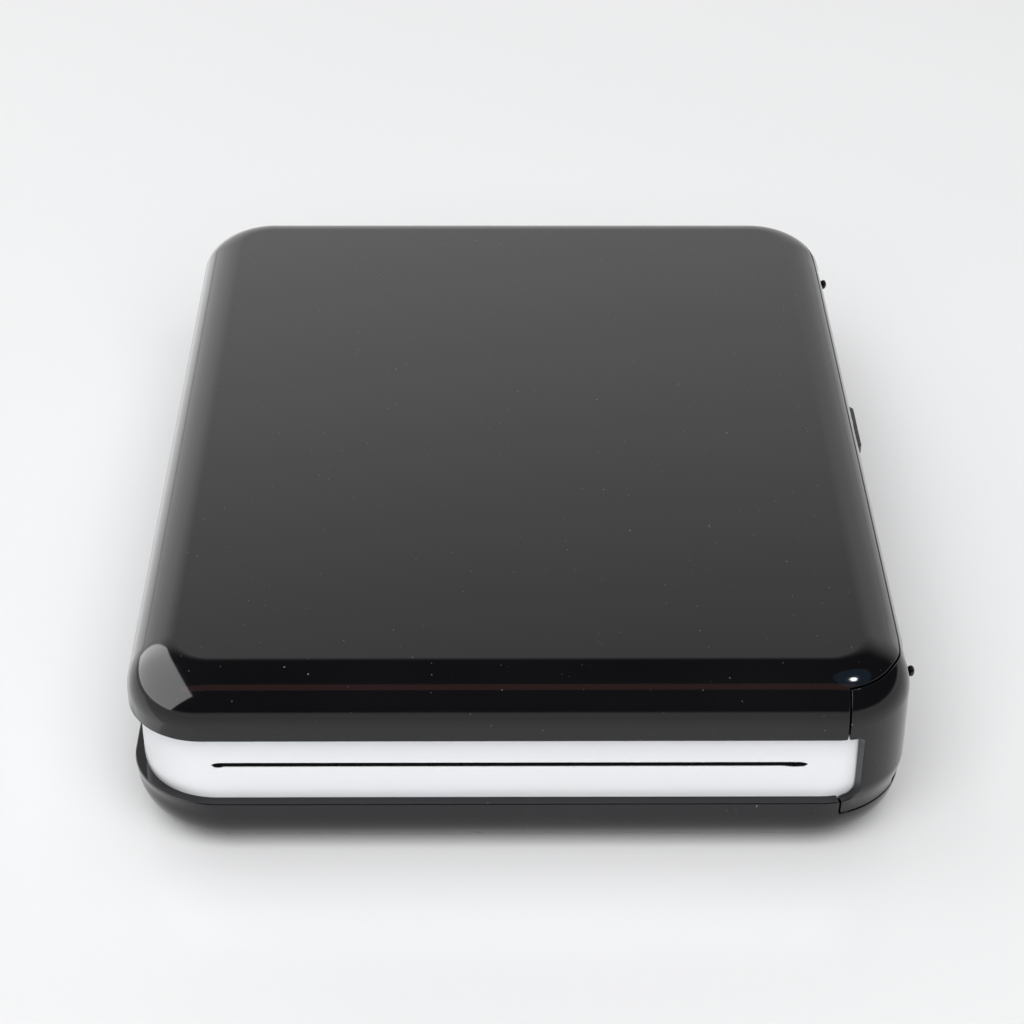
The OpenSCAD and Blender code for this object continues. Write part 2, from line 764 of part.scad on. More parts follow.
module frame_screws() {
    at_body() color([0.45, 0.45, 0.47]) {
        for (sx = [-1, 1]) for (y = bolt_y) {
            post(1.7, floor_z + 0.8, floor_z + 1.6, sx * bolt_x, y);
            post(0.68, floor_z - 0.9, floor_z + 1, sx * bolt_x, y);
        }
        for (sx = [-1, 1]) {
            post(1.7, board_top, board_top + 0.8, sx * post_x, post_y);
            post(0.68, floor_z + 2, board_top + 0.2, sx * post_x, post_y);
        }
    }
}

// ---- print head ----
module head_arm() {
    at_body() color([0.70, 0.71, 0.73]) difference() {
        union() {
            block(-arm_x, arm_x, platen_y - head_reach, pivot_y - 2, arm_z, arm_z + arm_t);
            for (x = [-arm_x, arm_x - arm_t]) {
                block(x, x + arm_t, pivot_y - 5, pivot_y + 1, pivot_z - 1, arm_z + 0.5);
                rod(arm_hub_r, x, x + arm_t, [pivot_y, pivot_z]);
            }
        }
        for (x = [-arm_x, arm_x - arm_t]) rod(journal_r + run_fit, x - 1, x + arm_t + 1, [pivot_y, pivot_z]);
    }
}

module heat_sink() {
    at_body() color([0.80, 0.81, 0.83]) difference() {
        block(-head_w / 2, head_w / 2, platen_y - head_reach, platen_y + head_reach, head_z + head_t, arm_z);
        for (i = [0 : 4])
            block(-big, big, platen_y - 5 + i * 2.2, platen_y - 4 + i * 2.2, head_z + head_t + 1.2, big);
    }
}

module print_head() {
    at_body() color([0.88, 0.86, 0.78]) {
        block(-head_w / 2, head_w / 2, platen_y - head_d / 2, platen_y + head_d / 2,
            head_z + 0.1, head_z + head_t);
        block(-head_w / 2, head_w / 2, platen_y - 0.6, platen_y + 0.6, head_z, head_z + 0.2);
    }
}

module head_connector() {
    y0 = platen_y + head_reach;
    y1 = y0 + connector_d;
    at_body() color([0.92, 0.91, 0.86]) {
        block(-connector_w / 2, connector_w / 2, y0, y1, connector_z, connector_z + connector_h);
        for (i = [-7 : 7]) block(i - 0.2, i + 0.2, y1, y1 + 0.6, connector_z + 0.4, connector_z + 0.8);
    }
}

module head_pivot() {
    at_body() color([0.75, 0.75, 0.77]) rod(journal_r, -plate_x - 0.2, plate_x + 0.2, [pivot_y, pivot_z]);
}

module head_springs() {
    at_body() color([0.75, 0.75, 0.77]) for (sx = [-1, 1])
        translate([sx * spring_x, platen_y, arm_z + arm_t + 0.02])
            coil(spring_r, wire_r, ceiling_z - arm_z - arm_t - 0.04, 5);
}

// ---- rollers ----
module platen_shaft() {
    at_body() color([0.78, 0.78, 0.80]) rod(shaft_r, -shaft_end, plate_x + 0.4, platen_at);
}

module platen_sleeve() {
    at_body() color([0.14, 0.14, 0.15]) difference() {
        rod(platen_r, -roller_l / 2, roller_l / 2, platen_at);
        rod(shaft_r, -big, big, platen_at);
    }
}

module platen_gear() {
    at_body() color([0.90, 0.90, 0.88]) gear(platen_n, platen_at, platen_turn, shaft_r);
}

module platen_bushes() {
    at_body() color([0.35, 0.30, 0.22]) bush_pair(shaft_r, platen_at);
}

module drive_roller() {
    at_body() color([0.74, 0.74, 0.76]) {
        rod(drive_r, -roller_l / 2, roller_l / 2, drive_at);
        rod(journal_r, -shaft_end, plate_x + 0.4, drive_at);
    }
}

module drive_gear() {
    at_body() color([0.90, 0.90, 0.88]) gear(drive_n, drive_at, drive_turn, journal_r);
}

module drive_bushes() {
    at_body() color([0.35, 0.30, 0.22]) bush_pair(journal_r, drive_at);
}

module pinch_shaft() {
    at_body() color([0.78, 0.78, 0.80]) rod(pinch_shaft_r, -plate_x - 0.4, plate_x + 0.4, [drive_y, pinch_z]);
}

module pinch_sleeve() {
    at_body() color([0.20, 0.20, 0.21]) difference() {
        rod(pinch_r, -roller_l / 2, roller_l / 2, [drive_y, pinch_z]);
        rod(pinch_shaft_r, -big, big, [drive_y, pinch_z]);
    }
}

module pinch_bushes() {
    at_body() color([0.35, 0.30, 0.22]) bush_pair(pinch_shaft_r, [drive_y, pinch_z]);
}

module exit_guide() {
    at_body() color([0.30, 0.30, 0.32])
        block(-inside_x, inside_x, -half_d + inner_inset + nest, drive_y - drive_r - 0.3,
            paper_z - 1.4, paper_z - 0.6);
}

module middle_guide() {
    at_body() color([0.30, 0.30, 0.32])
        block(-inside_x, inside_x, drive_y + drive_r + 0.4, platen_y - platen_r - 0.4,
            paper_z - 1.4, paper_z - 0.6);
}

module feed_guide() {
    at_body() color([0.30, 0.30, 0.32])
        block(-inside_x, inside_x, platen_y + platen_r + 0.4, bay_y0 - 2, paper_z - 0.75, paper_z - 0.25);
}

module paper_sensor() {
    at_body() color([0.12, 0.12, 0.13])
        block(-3, 3, drive_y + drive_r + 0.8, platen_y - platen_r - 0.8, paper_z - 4, paper_z - 1.4);
}

// ---- motor and gears ----
module feed_motor() {
    at_body() color([0.62, 0.63, 0.66]) difference() {
        union() {
            rod(motor_r, -inside_x, -inside_x + motor_l, motor_at);
            rod(2 - fixed_fit, -plate_x, -inside_x + 1, motor_at);
            rod(1.8, -inside_x + motor_l - 1, -inside_x + motor_l + 1.2, motor_at);
        }
        rod(motor_shaft_r + run_fit, -big, -inside_x + 8, motor_at);
    }
}

module motor_shaft() {
    at_body() color([0.80, 0.80, 0.82]) rod(motor_shaft_r, -shaft_end, -inside_x + 7.8, motor_at);
}

module motor_pinion() {
    at_body() color([0.80, 0.68, 0.35]) gear(pinion_n, motor_at, motor_turn, motor_shaft_r);
}

module front_idler() {
    at_body() color([0.90, 0.90, 0.88]) gear(front_n, front_at, front_turn, post_r + run_fit);
}

module rear_idler() {
    at_body() color([0.90, 0.90, 0.88]) gear(rear_n, rear_at, rear_turn, post_r + run_fit);
}

module small_idler() {
    at_body() color([0.90, 0.90, 0.88]) gear(small_n, small_at, small_turn, post_r + run_fit);
}

module idler_posts() {
    at_body() color([0.75, 0.75, 0.77]) for (at = [front_at, rear_at, small_at]) {
        rod(post_r, -shaft_end - 0.2, -plate_x, at);
        rod(post_r + 0.5, -plate_x - 0.3, -plate_x, at);
    }
}

module hub(at, reach) {
    rod(shaft_r, -reach, -inside_x + 1.5, at);
    rod(2.2, -inside_x + 0.8, -inside_x + 4.4, at);
    for (i = [0 : 5])
        translate([-inside_x + 0.8, at[0], at[1]]) rotate([i * 60, 0, 0])
            translate([0, -0.4, 1.5]) cube([3, 0.8, 1.7]);
}

module takeup_hub() {
    at_body() color([0.90, 0.90, 0.88]) hub(takeup_at, shaft_end);
}

module takeup_gear() {
    at_body() color([0.90, 0.90, 0.88]) gear(takeup_n, takeup_at, takeup_turn, shaft_r);
}

module supply_hub() {
    at_body() color([0.90, 0.90, 0.88]) {
        hub(supply_at, shaft_end);
        rod(flange_r, -shaft_end, -shaft_end + 1.2, supply_at);
    }
}

module hub_bushes() {
    at_body() color([0.35, 0.30, 0.22]) for (at = [takeup_at, supply_at])
        bush(shaft_r, -plate_x - 0.2, at);
}

// ---- electronics ----
module main_board() {
    at_body() color([0.08, 0.30, 0.16]) difference() {
        block(-board_w / 2, board_w / 2, board_y0, board_y1, board_z, board_top);
        for (sx = [-1, 1]) post(0.9, 0, big, sx * post_x, post_y);
    }
}

module board_parts() {
    x0 = chip_x - chip_w / 2;
    memory_x = x0 - memory_w - 3;
    plug_x = post_x - 2 * plug_w;
    at_body() color([0.10, 0.10, 0.11]) {
        block(x0, x0 + chip_w, parts_y, parts_y + chip_w, board_top, board_top + 1);
        block(memory_x, memory_x + memory_w, parts_y + 0.5, parts_y + 0.5 + memory_w,
            board_top, board_top + 1.1);
        block(plug_x, plug_x + plug_w, parts_y, parts_y + plug_w, board_top, board_top + 2);
        for (i = [0 : 4]) let (x = small_x + i * small_pitch)
            block(x, x + 1.4, board_y0 + 1, board_y0 + 1.9, board_top, board_top + 0.6);
        for (x = tank_x) post(tank_r, board_top, board_top + tank_h, x, tank_y);
    }
}

module radio_module() {
    at_body() color([0.78, 0.79, 0.80])
        block(radio_x, radio_x + radio_w, board_y0 + 1, board_y0 + 1 + radio_d,
            board_top, board_top + radio_t);
}

module battery_pack() {
    at_body() color([0.60, 0.66, 0.74]) {
        block(battery_x[0], battery_x[1], battery_y[0], battery_y[1], floor_z, floor_z + battery_t);
        block(battery_x[0] + 4, battery_x[1] - 4, battery_y[1], battery_y[1] + battery_cap,
            floor_z + 0.6, floor_z + battery_t - 0.6);
    }
}

module battery_pad() {
    at_body() color([0.20, 0.20, 0.21])
        block(battery_x[0] + pad_in, battery_x[1] - pad_in, battery_y[0] + pad_in, battery_y[1] - pad_in,
            floor_z + battery_t, mouth_z0 - 0.2 - floor_t);
}

module battery_leads() {
    y1 = board_y0 + 2;
    at_body() color([0.70, 0.12, 0.10]) for (x = lead_x) {
        rod_y(lead_r, battery_y[1] + battery_cap, y1, x, floor_z + 3);
        post(lead_r, floor_z + 3, board_z, x, y1);
    }
}

top_cover();
bottom_cover();
middle_band();
side_door();
door_bar();
door_pips();
case_pips();
hinge_pins();
door_keepers();
band_magnets();
bar_keeper();
feet();
case_screws();
power_button();
light_pipe();
left_plate();
right_plate();
base_tray();
bay_floor();
frame_screws();
head_arm();
heat_sink();
print_head();
head_connector();
head_pivot();
head_springs();
platen_shaft();
platen_sleeve();
platen_gear();
platen_bushes();
drive_roller();
drive_gear();
drive_bushes();
pinch_shaft();
pinch_sleeve();
pinch_bushes();
exit_guide();
middle_guide();
feed_guide();
paper_sensor();
feed_motor();
motor_shaft();
motor_pinion();
front_idler();
rear_idler();
small_idler();
idler_posts();
takeup_hub();
takeup_gear();
supply_hub();
hub_bushes();
main_board();
board_parts();
radio_module();
charging_socket();
power_switch();
status_lamp();
battery_pack();
battery_pad();
battery_leads();
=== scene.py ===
# Looks of a compact photo printer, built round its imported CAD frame.
import math

import bmesh
import bpy
import numpy as np
from mathutils import Matrix, Vector
from mathutils.geometry import delaunay_2d_cdt

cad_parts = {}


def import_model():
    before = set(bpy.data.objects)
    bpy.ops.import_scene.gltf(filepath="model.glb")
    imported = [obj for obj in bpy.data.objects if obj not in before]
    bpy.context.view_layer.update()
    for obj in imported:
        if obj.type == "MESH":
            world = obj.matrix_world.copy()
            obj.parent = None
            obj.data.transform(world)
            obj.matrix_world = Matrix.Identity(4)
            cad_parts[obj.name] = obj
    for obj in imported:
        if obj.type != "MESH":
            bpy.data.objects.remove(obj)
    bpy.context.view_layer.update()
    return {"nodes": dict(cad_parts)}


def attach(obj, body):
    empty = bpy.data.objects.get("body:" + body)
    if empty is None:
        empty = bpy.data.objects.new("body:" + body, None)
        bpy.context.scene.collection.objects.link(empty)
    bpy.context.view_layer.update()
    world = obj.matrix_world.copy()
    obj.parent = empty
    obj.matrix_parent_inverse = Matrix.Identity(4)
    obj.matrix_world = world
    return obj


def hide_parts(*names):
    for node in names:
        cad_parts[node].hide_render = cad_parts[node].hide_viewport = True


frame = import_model()

# ---- sizes, in millimetres
HOUSING = "housing"
MM = 0.001
MID_X = -0.45
HALF_W = 51.0
HALF_D = 66.0
TOP_Z = 27.5
FOOT_GAP = 0.4
TOP_R = 6.6
LOW_R = 6.5
PLAN_R_LOW = 13.0
PLAN_R_MID = 10.5
PLAN_R_TOP = 11.5
PLAN_LOW_V = (6.5, 11.0)
PLAN_TOP_V = (21.0, 29.0)
REF_R = 12.0
WALL = 1.6
LEDGE_Z = 8.7
LIP_Z = 19.0
BAND_IN = 1.5
BAND_T = 1.5
DOOR_X = 42.03
DOOR_LOW_X = 41.73
SEAM = 0.2
SIDE_SEAM_Z = 24.68
WING_SEAM_Z = 25.65
SEAM_RISE = (50.0, 60.5)
TOP_SEAM = 0.24
WING_Z = 6.62
BASE_TOP_Z = 6.8
BASE_WING_Z = 6.42
BASE_DROP = (57.5, 60.5)
DOOR_T = 1.3
DOOR_LIP_T = 0.65
DOOR_LIP_Z = 22.0
HINGE_X = 50.0
HINGE_Z = 7.9
BARREL_R = 1.0
KNUCKLES = (-44.5, -37.5, 37.5, 44.5)
KNUCKLE_L = 3.0
WINDOW_X = 44.3
WINDOW_LOW_R = 2.4
WINDOW_HIGH_R = 0.8
BAR_Y = 8.25
BAR_Z = 19.8
BAR_L = 12.5
BAR_H = 1.6
PROUD = 0.9
EXIT_X = -1.2
EXIT_W = 77.0
EXIT_H = 0.7
EXIT_Z = 14.0
MOUTH_Y = 46.0
MOUTH_Z = 9.3
MOUTH_TOP_Z = 23.0
BUTTON_X = -30.0
BUTTON_Z = 13.85
BUTTON_R = 3.0
USB_X = 20.0
USB_W = 9.0
USB_H = 3.2
USB_Z = 11.4
SCREW_X = HALF_W - 5.4
SCREW_Y = HALF_D - 9.5
FOOT_X = 38.0
FOOT_Y = 50.0
FOOT_R = 4.0
FOOT_PLAY = 0.12
FOOT_POCKET = 0.8
FOOT_STEPS = 48
SCREW_HOLE_R = 1.9
SCREW_STEPS = 36
STEM_OFF = 1.25
BAR_SLOT_HALF = 3.8
BAR_SLOT_R = 0.55
OUTLINE_R = 0.3
DOOR_OUTLINE_R = 0.25
WINDOW_OUTLINE_R = 0.5
TOP_BEVEL = 0.18
BASE_BEVEL = 0.15
BAND_BEVEL = 0.12
DOOR_BEVEL = 0.11
JAMB_FLARE = 0.22
QUARTERS = [(sx, sy) for sx in (-1, 1) for sy in (-1, 1)]
SEAM_PLACES = np.arange(50.0, 62.0, 0.4)
GRID_GAP = 0.22
RIM_RINGS = 4
TINY = 1e-3
FLAT_AREA = 1e-9
CDT_GAP = 1e-7
# Steps to the millimetre when points are merged, and how many points are tested at once
MERGE_STEPS = 5000
BATCH = 2000

BEND_Z = TOP_Z - TOP_R
LOW_BEND_Z = FOOT_GAP + LOW_R
ARC = REF_R * math.pi / 2
REF_X = HALF_W - REF_R
REF_Y = HALF_D - REF_R

# The loop round the case, from the middle of the right side, anticlockwise seen from above
LENGTHS = [REF_Y, ARC, 2 * REF_X, ARC, 2 * REF_Y, ARC, 2 * REF_X, ARC, REF_Y]
STARTS = np.concatenate([[0], np.cumsum(LENGTHS)])
LOOP = float(STARTS[-1])
C0 = np.array([[1, 0], [1, 1], [1, 1], [-1, 1], [-1, 1], [-1, -1], [-1, -1], [1, -1], [1, -1]], float)
C1 = np.array([[1, 1], [1, 1], [-1, 1], [-1, 1], [-1, -1], [-1, -1], [1, -1], [1, -1], [1, 0]], float)
A0 = np.radians([0, 0, 90, 90, 180, 180, 270, 270, 360])
A1 = np.radians([0, 90, 90, 180, 180, 270, 270, 360, 360])


# ---- the case's surface
def ease(x, span):
    """From 0 to 1 as x crosses the span."""
    t = np.clip((np.asarray(x, float) - span[0]) / (span[1] - span[0]), 0, 1)
    return t * t * (3 - 2 * t)


def plan_radius(v):
    mid = PLAN_R_LOW + (PLAN_R_MID - PLAN_R_LOW) * ease(v, PLAN_LOW_V)
    return mid + (PLAN_R_TOP - PLAN_R_MID) * ease(v, PLAN_TOP_V)


def profile(v):
    """Inset, height and the two parts of the normal at v along the case's section."""
    v = np.asarray(v, float)
    up = np.clip((v - BEND_Z) / TOP_R, 0, math.pi / 2)
    flat_up = np.maximum(v - BEND_Z - TOP_R * math.pi / 2, 0)
    low = np.clip((LOW_BEND_Z - v) / LOW_R, 0, math.pi / 2)
    flat_low = np.maximum(LOW_BEND_Z - v - LOW_R * math.pi / 2, 0)
    inset = TOP_R * (1 - np.cos(up)) + flat_up + LOW_R * (1 - np.cos(low)) + flat_low
    z = np.clip(v, LOW_BEND_Z, BEND_Z) + TOP_R * np.sin(up) - LOW_R * np.sin(low)
    return inset, z, np.cos(up) * np.cos(low), np.sin(up) - np.sin(low)


def point(u, v, d):
    """The point at u round the case, v along its section and d below its skin."""
    u = np.mod(np.asarray(u, float), LOOP)
    inset, z, across, along = profile(v)
    r = plan_radius(v)
    i = np.clip(np.searchsorted(STARTS, u, side="right") - 1, 0, len(LENGTHS) - 1)
    t = (u - STARTS[i]) / np.array(LENGTHS)[i]
    a = A0[i] + (A1[i] - A0[i]) * t
    c = C0[i] + (C1[i] - C0[i]) * t[..., None]
    rest = r - inset - d * across
    x = c[..., 0] * (HALF_W - r) + np.cos(a) * rest
    y = c[..., 1] * (HALF_D - r) + np.sin(a) * rest
    return np.stack([x, y, z - d * along], -1)


def normal(u, v, d):
    du = point(u + TINY, v, d) - point(u - TINY, v, d)
    dv = point(u, v + TINY, d) - point(u, v - TINY, d)
    n = np.cross(du, dv)
    return n / np.linalg.norm(n, axis=-1, keepdims=True)


def v_at_z(z):
    if z <= BEND_Z:
        return z
    return BEND_Z + TOP_R * math.asin(min(1.0, (z - BEND_Z) / TOP_R))


def u_at_x(x, v, rear=False):
    """Where the section v crosses the plane x on the front, or on the rear."""
    inset = float(profile(v)[0])
    r = float(plan_radius(v))
    ex = HALF_W - r
    if x <= ex:
        u = STARTS[6] + (x + ex) / (2 * ex) * LENGTHS[6]
    else:
        u = STARTS[7] + math.asin(min(1.0, (x - ex) / (r - inset))) / (math.pi / 2) * ARC
    return LOOP - u if rear else u


def u_at_y(y, v):
    """Where the section v crosses the plane y on the right side."""
    ey = HALF_D - float(plan_radius(v))
    u = y / ey * REF_Y
    return u if u >= 0 else LOOP + u


def at_x(x, rear=False, shift=0.0):
    """The plane x, for upright()."""
    return lambda v: u_at_x(x, v, rear) + shift


def at_y(y, shift=0.0):
    """The plane y, for upright()."""
    return lambda v: u_at_y(y, v) + shift


# ---- outlines on that surface
def round_stations(step_flat=6.0, step_arc=0.45):
    """Places round the loop: close together in the corners, wide apart on the flats."""
    out = []
    for i, length in enumerate(LENGTHS):
        n = max(1, round(length / (step_arc if i % 2 else step_flat)))
        out += [STARTS[i] + length * k / n for k in range(n)]
    return out + [LOOP]


STATIONS = round_stations()
SIDE_STATIONS = [s for s in STATIONS if s < LOOP / 2] + [s - LOOP for s in STATIONS if s > LOOP / 2]


def from_side(u):
    """How far u is from the middle of the right side, either way round."""
    u = np.mod(u, LOOP)
    return np.minimum(u, LOOP - u)


def top_seam_v(u, off):
    """The seam over the door, higher round the corners than along the side."""
    z = SIDE_SEAM_Z + (WING_SEAM_Z - SIDE_SEAM_Z) * float(ease(from_side(u), SEAM_RISE))
    return v_at_z(z) + off


def base_top_v(u):
    """The base's edge, lower under the door's wings than under its hinge."""
    return BASE_TOP_Z + (BASE_WING_Z - BASE_TOP_Z) * float(ease(from_side(u), BASE_DROP))


def along(u0, u1, v):
    """From u0 to u1 at one height, or at the heights that v gives."""
    lo, hi = min(u0, u1), max(u0, u1)
    shifts = (-LOOP, 0.0, LOOP)
    places = set(STATIONS)
    if callable(v):
        places |= {s + k * u for s in (0.0, LOOP) for k in (-1, 1) for u in SEAM_PLACES}
    inner = sorted({s + k for s in places for k in shifts if lo + 0.1 < s + k < hi - 0.1})
    us = [lo] + inner + [hi]
    if u1 < u0:
        us = us[::-1]
    return [(u, v(u) if callable(v) else v) for u in us]


def upright(v0, v1, where, step=0.4):
    """From v0 to v1 in the plane that where gives."""
    n = max(2, math.ceil(abs(v1 - v0) / step))
    vs = [v0 + (v1 - v0) * k / n for k in range(n + 1)]
    return [(where(v), v) for v in vs]


def trimmed(leg, r, at_end):
    """A leg cut back by r at one end."""
    pts = leg[::-1] if at_end else list(leg)
    left = r
    while len(pts) > 2 and math.dist(*pts[:2]) <= left:
        left -= math.dist(*pts[:2])
        pts = pts[1:]
    (u0, v0), (u1, v1) = pts[:2]
    t = min(0.9, left / math.dist(*pts[:2]))
    pts[0] = (u0 + (u1 - u0) * t, v0 + (v1 - v0) * t)
    return pts[::-1] if at_end else pts


def joined(legs, r, closed, steps=6):
    """The legs as one line, with each corner between two of them rounded."""
    n = len(legs)
    cut = []
    for i, leg in enumerate(legs):
        pts = list(leg)
        if closed or i > 0:
            pts = trimmed(pts, r, False)
        if closed or i < n - 1:
            pts = trimmed(pts, r, True)
        cut.append(pts)
    out = []
    for i in range(n):
        out += cut[i]
        if not closed and i == n - 1:
            break
        p0, p2 = cut[i][-1], cut[(i + 1) % n][0]
        p1 = legs[i][-1]
        for k in range(1, steps):
            t = k / steps
            w = ((1 - t) ** 2, 2 * t * (1 - t), t * t)
            out.append(tuple(w[0] * a + w[1] * b + w[2] * c for a, b, c in zip(p0, p1, p2)))
    return out


def capsule(u, v, half, r, steps=14):
    """A hole with round ends, clockwise so that the surface is on its left."""
    out = []
    for s in (1, -1):
        for k in range(steps + 1):
            a = math.radians(90 - 180 * k / steps)
            out.append((u + s * (half + r * math.cos(a)), v + s * r * math.sin(a)))
    return out


def circle(x, y, r, steps, way=1):
    """Points round a circle, clockwise when way is -1."""
    turns = [way * 2 * math.pi * k / steps for k in range(steps)]
    return [(x + r * math.cos(a), y + r * math.sin(a)) for a in turns]


# ---- sheets cut to those outlines
class Part:
    """Points, normals and faces of one closed form, in millimetres."""

    def __init__(self):
        self.co = []
        self.no = []
        self.faces = []
        self.inner = set()

    def add(self, co, no):
        first = len(self.co)
        self.co += [tuple(map(float, c)) for c in co]
        self.no += [tuple(map(float, n)) for n in no]
        return list(range(first, len(self.co)))

    def bridge(self, one, two, closed=True):
        """A strip of faces between two rows of points."""
        n = len(one)
        for i in range(n if closed else n - 1):
            j = (i + 1) % n
            self.faces.append([one[i], two[i], two[j], one[j]])


def inside(points, edges):
    """Which points the edges enclose, by the even-odd rule."""
    a = np.array([e[0] for e in edges])
    b = np.array([e[1] for e in edges])
    hit = np.zeros(len(points), bool)
    for k in range(0, len(points), BATCH):
        p = points[k:k + BATCH]
        y = p[:, None, 1]
        cross = (a[None, :, 1] > y) != (b[None, :, 1] > y)
        dy = np.where(cross, b[None, :, 1] - a[None, :, 1], 1.0)
        x = a[None, :, 0] + (y - a[None, :, 1]) / dy * (b[None, :, 0] - a[None, :, 0])
        hit[k:k + BATCH] = (np.sum(cross & (p[:, None, 0] < x), 1) % 2) == 1
    return hit


def enclosed(co, tris, segs):
    """The triangles inside the outline, each anticlockwise."""
    mids = np.array([np.mean([co[i] for i in tri], 0) for tri in tris])
    for tri, kept in zip(tris, inside(mids, segs)):
        a, b, c = (co[i] for i in tri)
        turn = (b[0] - a[0]) * (c[1] - a[1]) - (b[1] - a[1]) * (c[0] - a[0])
        if kept and abs(turn) >= FLAT_AREA:
            yield tri if turn > 0 else tri[::-1]


def tangents(p, closed=False):
    """Unit directions along a row of points."""
    if closed:
        t = np.roll(p, -1, 0) - np.roll(p, 1, 0)
    else:
        t = np.empty_like(p)
        t[1:-1] = p[2:] - p[:-2]
        t[0] = p[1] - p[0]
        t[-1] = p[-1] - p[-2]
    return t / np.linalg.norm(t, axis=1, keepdims=True)


def rim_frame(line, closed, d):
    """Place, outward direction and normal along an outline at depth d."""
    uv = np.array(line, float)
    p = point(uv[:, 0], uv[:, 1], d)
    n = normal(uv[:, 0], uv[:, 1], d)
    b = np.cross(tangents(p, closed), n)
    b /= np.linalg.norm(b, axis=1, keepdims=True)
    return p, b, n


def inset_line(line, closed, amount):
    """The outline moved inwards over the surface."""
    u, v = np.array(line, float).T
    pu = (point(u + TINY, v, 0.0) - point(u - TINY, v, 0.0)) / (2 * TINY)
    pv = (point(u, v + TINY, 0.0) - point(u, v - TINY, 0.0)) / (2 * TINY)
    w = -rim_frame(line, closed, 0.0)[1] * amount
    a11 = np.sum(pu * pu, 1)
    a12 = np.sum(pu * pv, 1)
    a22 = np.sum(pv * pv, 1)
    r1 = np.sum(w * pu, 1)
    r2 = np.sum(w * pv, 1)
    det = a11 * a22 - a12 * a12
    du = (r1 * a22 - r2 * a12) / det
    dv = (r2 * a11 - r1 * a12) / det
    if not closed:
        du[0] = du[-1] = 0.0
    return list(zip((u + du).tolist(), (v + dv).tolist()))


def sheet(rims, welds, rows, outer, inner, bevel, cols=STATIONS):
    """A shell between two depths. rims are (outline, closed) and get rounded edges, and may add how
    far each point's inner edge stands out past its outer one. welds are lines shared with another
    sheet or with this one's other end. The last weld's points on the outer and the inner skin are
    given back with the shell."""
    part = Part()
    flares = [np.array(rim[2] if len(rim) > 2 else [0.0] * len(rim[0]))[:, None] for rim in rims]
    rims = [rim[:2] for rim in rims]
    cut = [inset_line(line, closed, bevel) for line, closed in rims]
    pts = []
    index = []
    edges = []

    def lay(line, closed):
        ids = list(range(len(pts), len(pts) + len(line)))
        pts.extend(line)
        pairs = list(zip(ids, ids[1:]))
        if closed:
            pairs.append((ids[-1], ids[0]))
        edges.extend(pairs)
        return ids

    for line, (_, closed) in zip(cut, rims):
        index.append(lay(line, closed))
    weld_ids = [lay(line, False) for line in welds]
    segs = [(pts[i], pts[j]) for i, j in edges]
    grid = np.array([(u, v) for u in cols for v in rows], float)
    bound = np.array(pts, float)
    grid = grid[inside(grid, segs)]
    keep = np.ones(len(grid), bool)
    for k in range(0, len(grid), BATCH):
        g = grid[k:k + BATCH]
        dist = np.min(np.hypot(g[:, None, 0] - bound[None, :, 0], g[:, None, 1] - bound[None, :, 1]), 1)
        keep[k:k + BATCH] = dist > GRID_GAP
    grid = grid[keep]
    every = [Vector(q) for q in pts] + [Vector(q) for q in grid.tolist()]
    co, _, tris, origin, _, _ = delaunay_2d_cdt(every, edges, [], 2, CDT_GAP)
    where = {}
    for out, sources in enumerate(origin):
        for s in sources:
            where[s] = out
    uv = np.array([(q.x, q.y) for q in co], float)
    d0 = outer(uv[:, 0], uv[:, 1]) if callable(outer) else np.full(len(uv), float(outer))
    d1 = inner(uv[:, 0], uv[:, 1]) if callable(inner) else np.full(len(uv), float(inner))
    top = part.add(point(uv[:, 0], uv[:, 1], d0), normal(uv[:, 0], uv[:, 1], d0))
    low = part.add(point(uv[:, 0], uv[:, 1], d1), -normal(uv[:, 0], uv[:, 1], d1))
    for tri in enclosed(uv, tris, segs):
        part.faces.append([top[i] for i in tri])
        part.inner.add(len(part.faces))
        part.faces.append([low[i] for i in tri][::-1])
    for ids, line, (_, closed), flare in zip(index, cut, rims, flares):
        idx = [where[i] for i in ids]
        p0, b0, n0 = rim_frame(line, closed, d0[idx])
        p1, _, n1 = rim_frame(line, closed, d1[idx])
        b0 = np.cross(np.cross(n0, b0), p0 - p1)
        b0 /= np.linalg.norm(b0, axis=1, keepdims=True)
        p1 = p1 + b0 * flare
        layers = [[top[i] for i in idx]]
        for k in range(1, RIM_RINGS + 1):
            a = math.pi / 2 * k / RIM_RINGS
            co_k = p0 + b0 * bevel * math.sin(a) - n0 * bevel * (1 - math.cos(a))
            layers.append(part.add(co_k, b0 * math.sin(a) + n0 * math.cos(a)))
        for k in range(RIM_RINGS, 0, -1):
            a = math.pi / 2 * k / RIM_RINGS
            co_k = p1 + b0 * bevel * math.sin(a) + n1 * bevel * (1 - math.cos(a))
            layers.append(part.add(co_k, b0 * math.sin(a) - n1 * math.cos(a)))
        layers.append([low[i] for i in idx])
        for one, two in zip(layers, layers[1:]):
            part.bridge(one, two, closed)
    last = [where[i] for i in weld_ids[-1]] if weld_ids else []
    return part, [top[i] for i in last], [low[i] for i in last]


def fill_flat(part, loops, up):
    """A level face inside loops of points that are already in the part; later loops are holes."""
    pts = []
    ids = []
    edges = []
    for loop in loops:
        first = len(pts)
        ids += loop
        pts += [Vector(part.co[i][:2]) for i in loop]
        n = len(loop)
        edges += [(first + i, first + (i + 1) % n) for i in range(n)]
    co, _, tris, origin, _, _ = delaunay_2d_cdt(pts, edges, [], 2, CDT_GAP)
    back = {out: ids[src[0]] for out, src in enumerate(origin) if src}
    segs = [(pts[i][:], pts[j][:]) for i, j in edges]
    for tri in enclosed([q[:] for q in co], tris, segs):
        part.faces.append([back[i] for i in (tri if up else tri[::-1])])


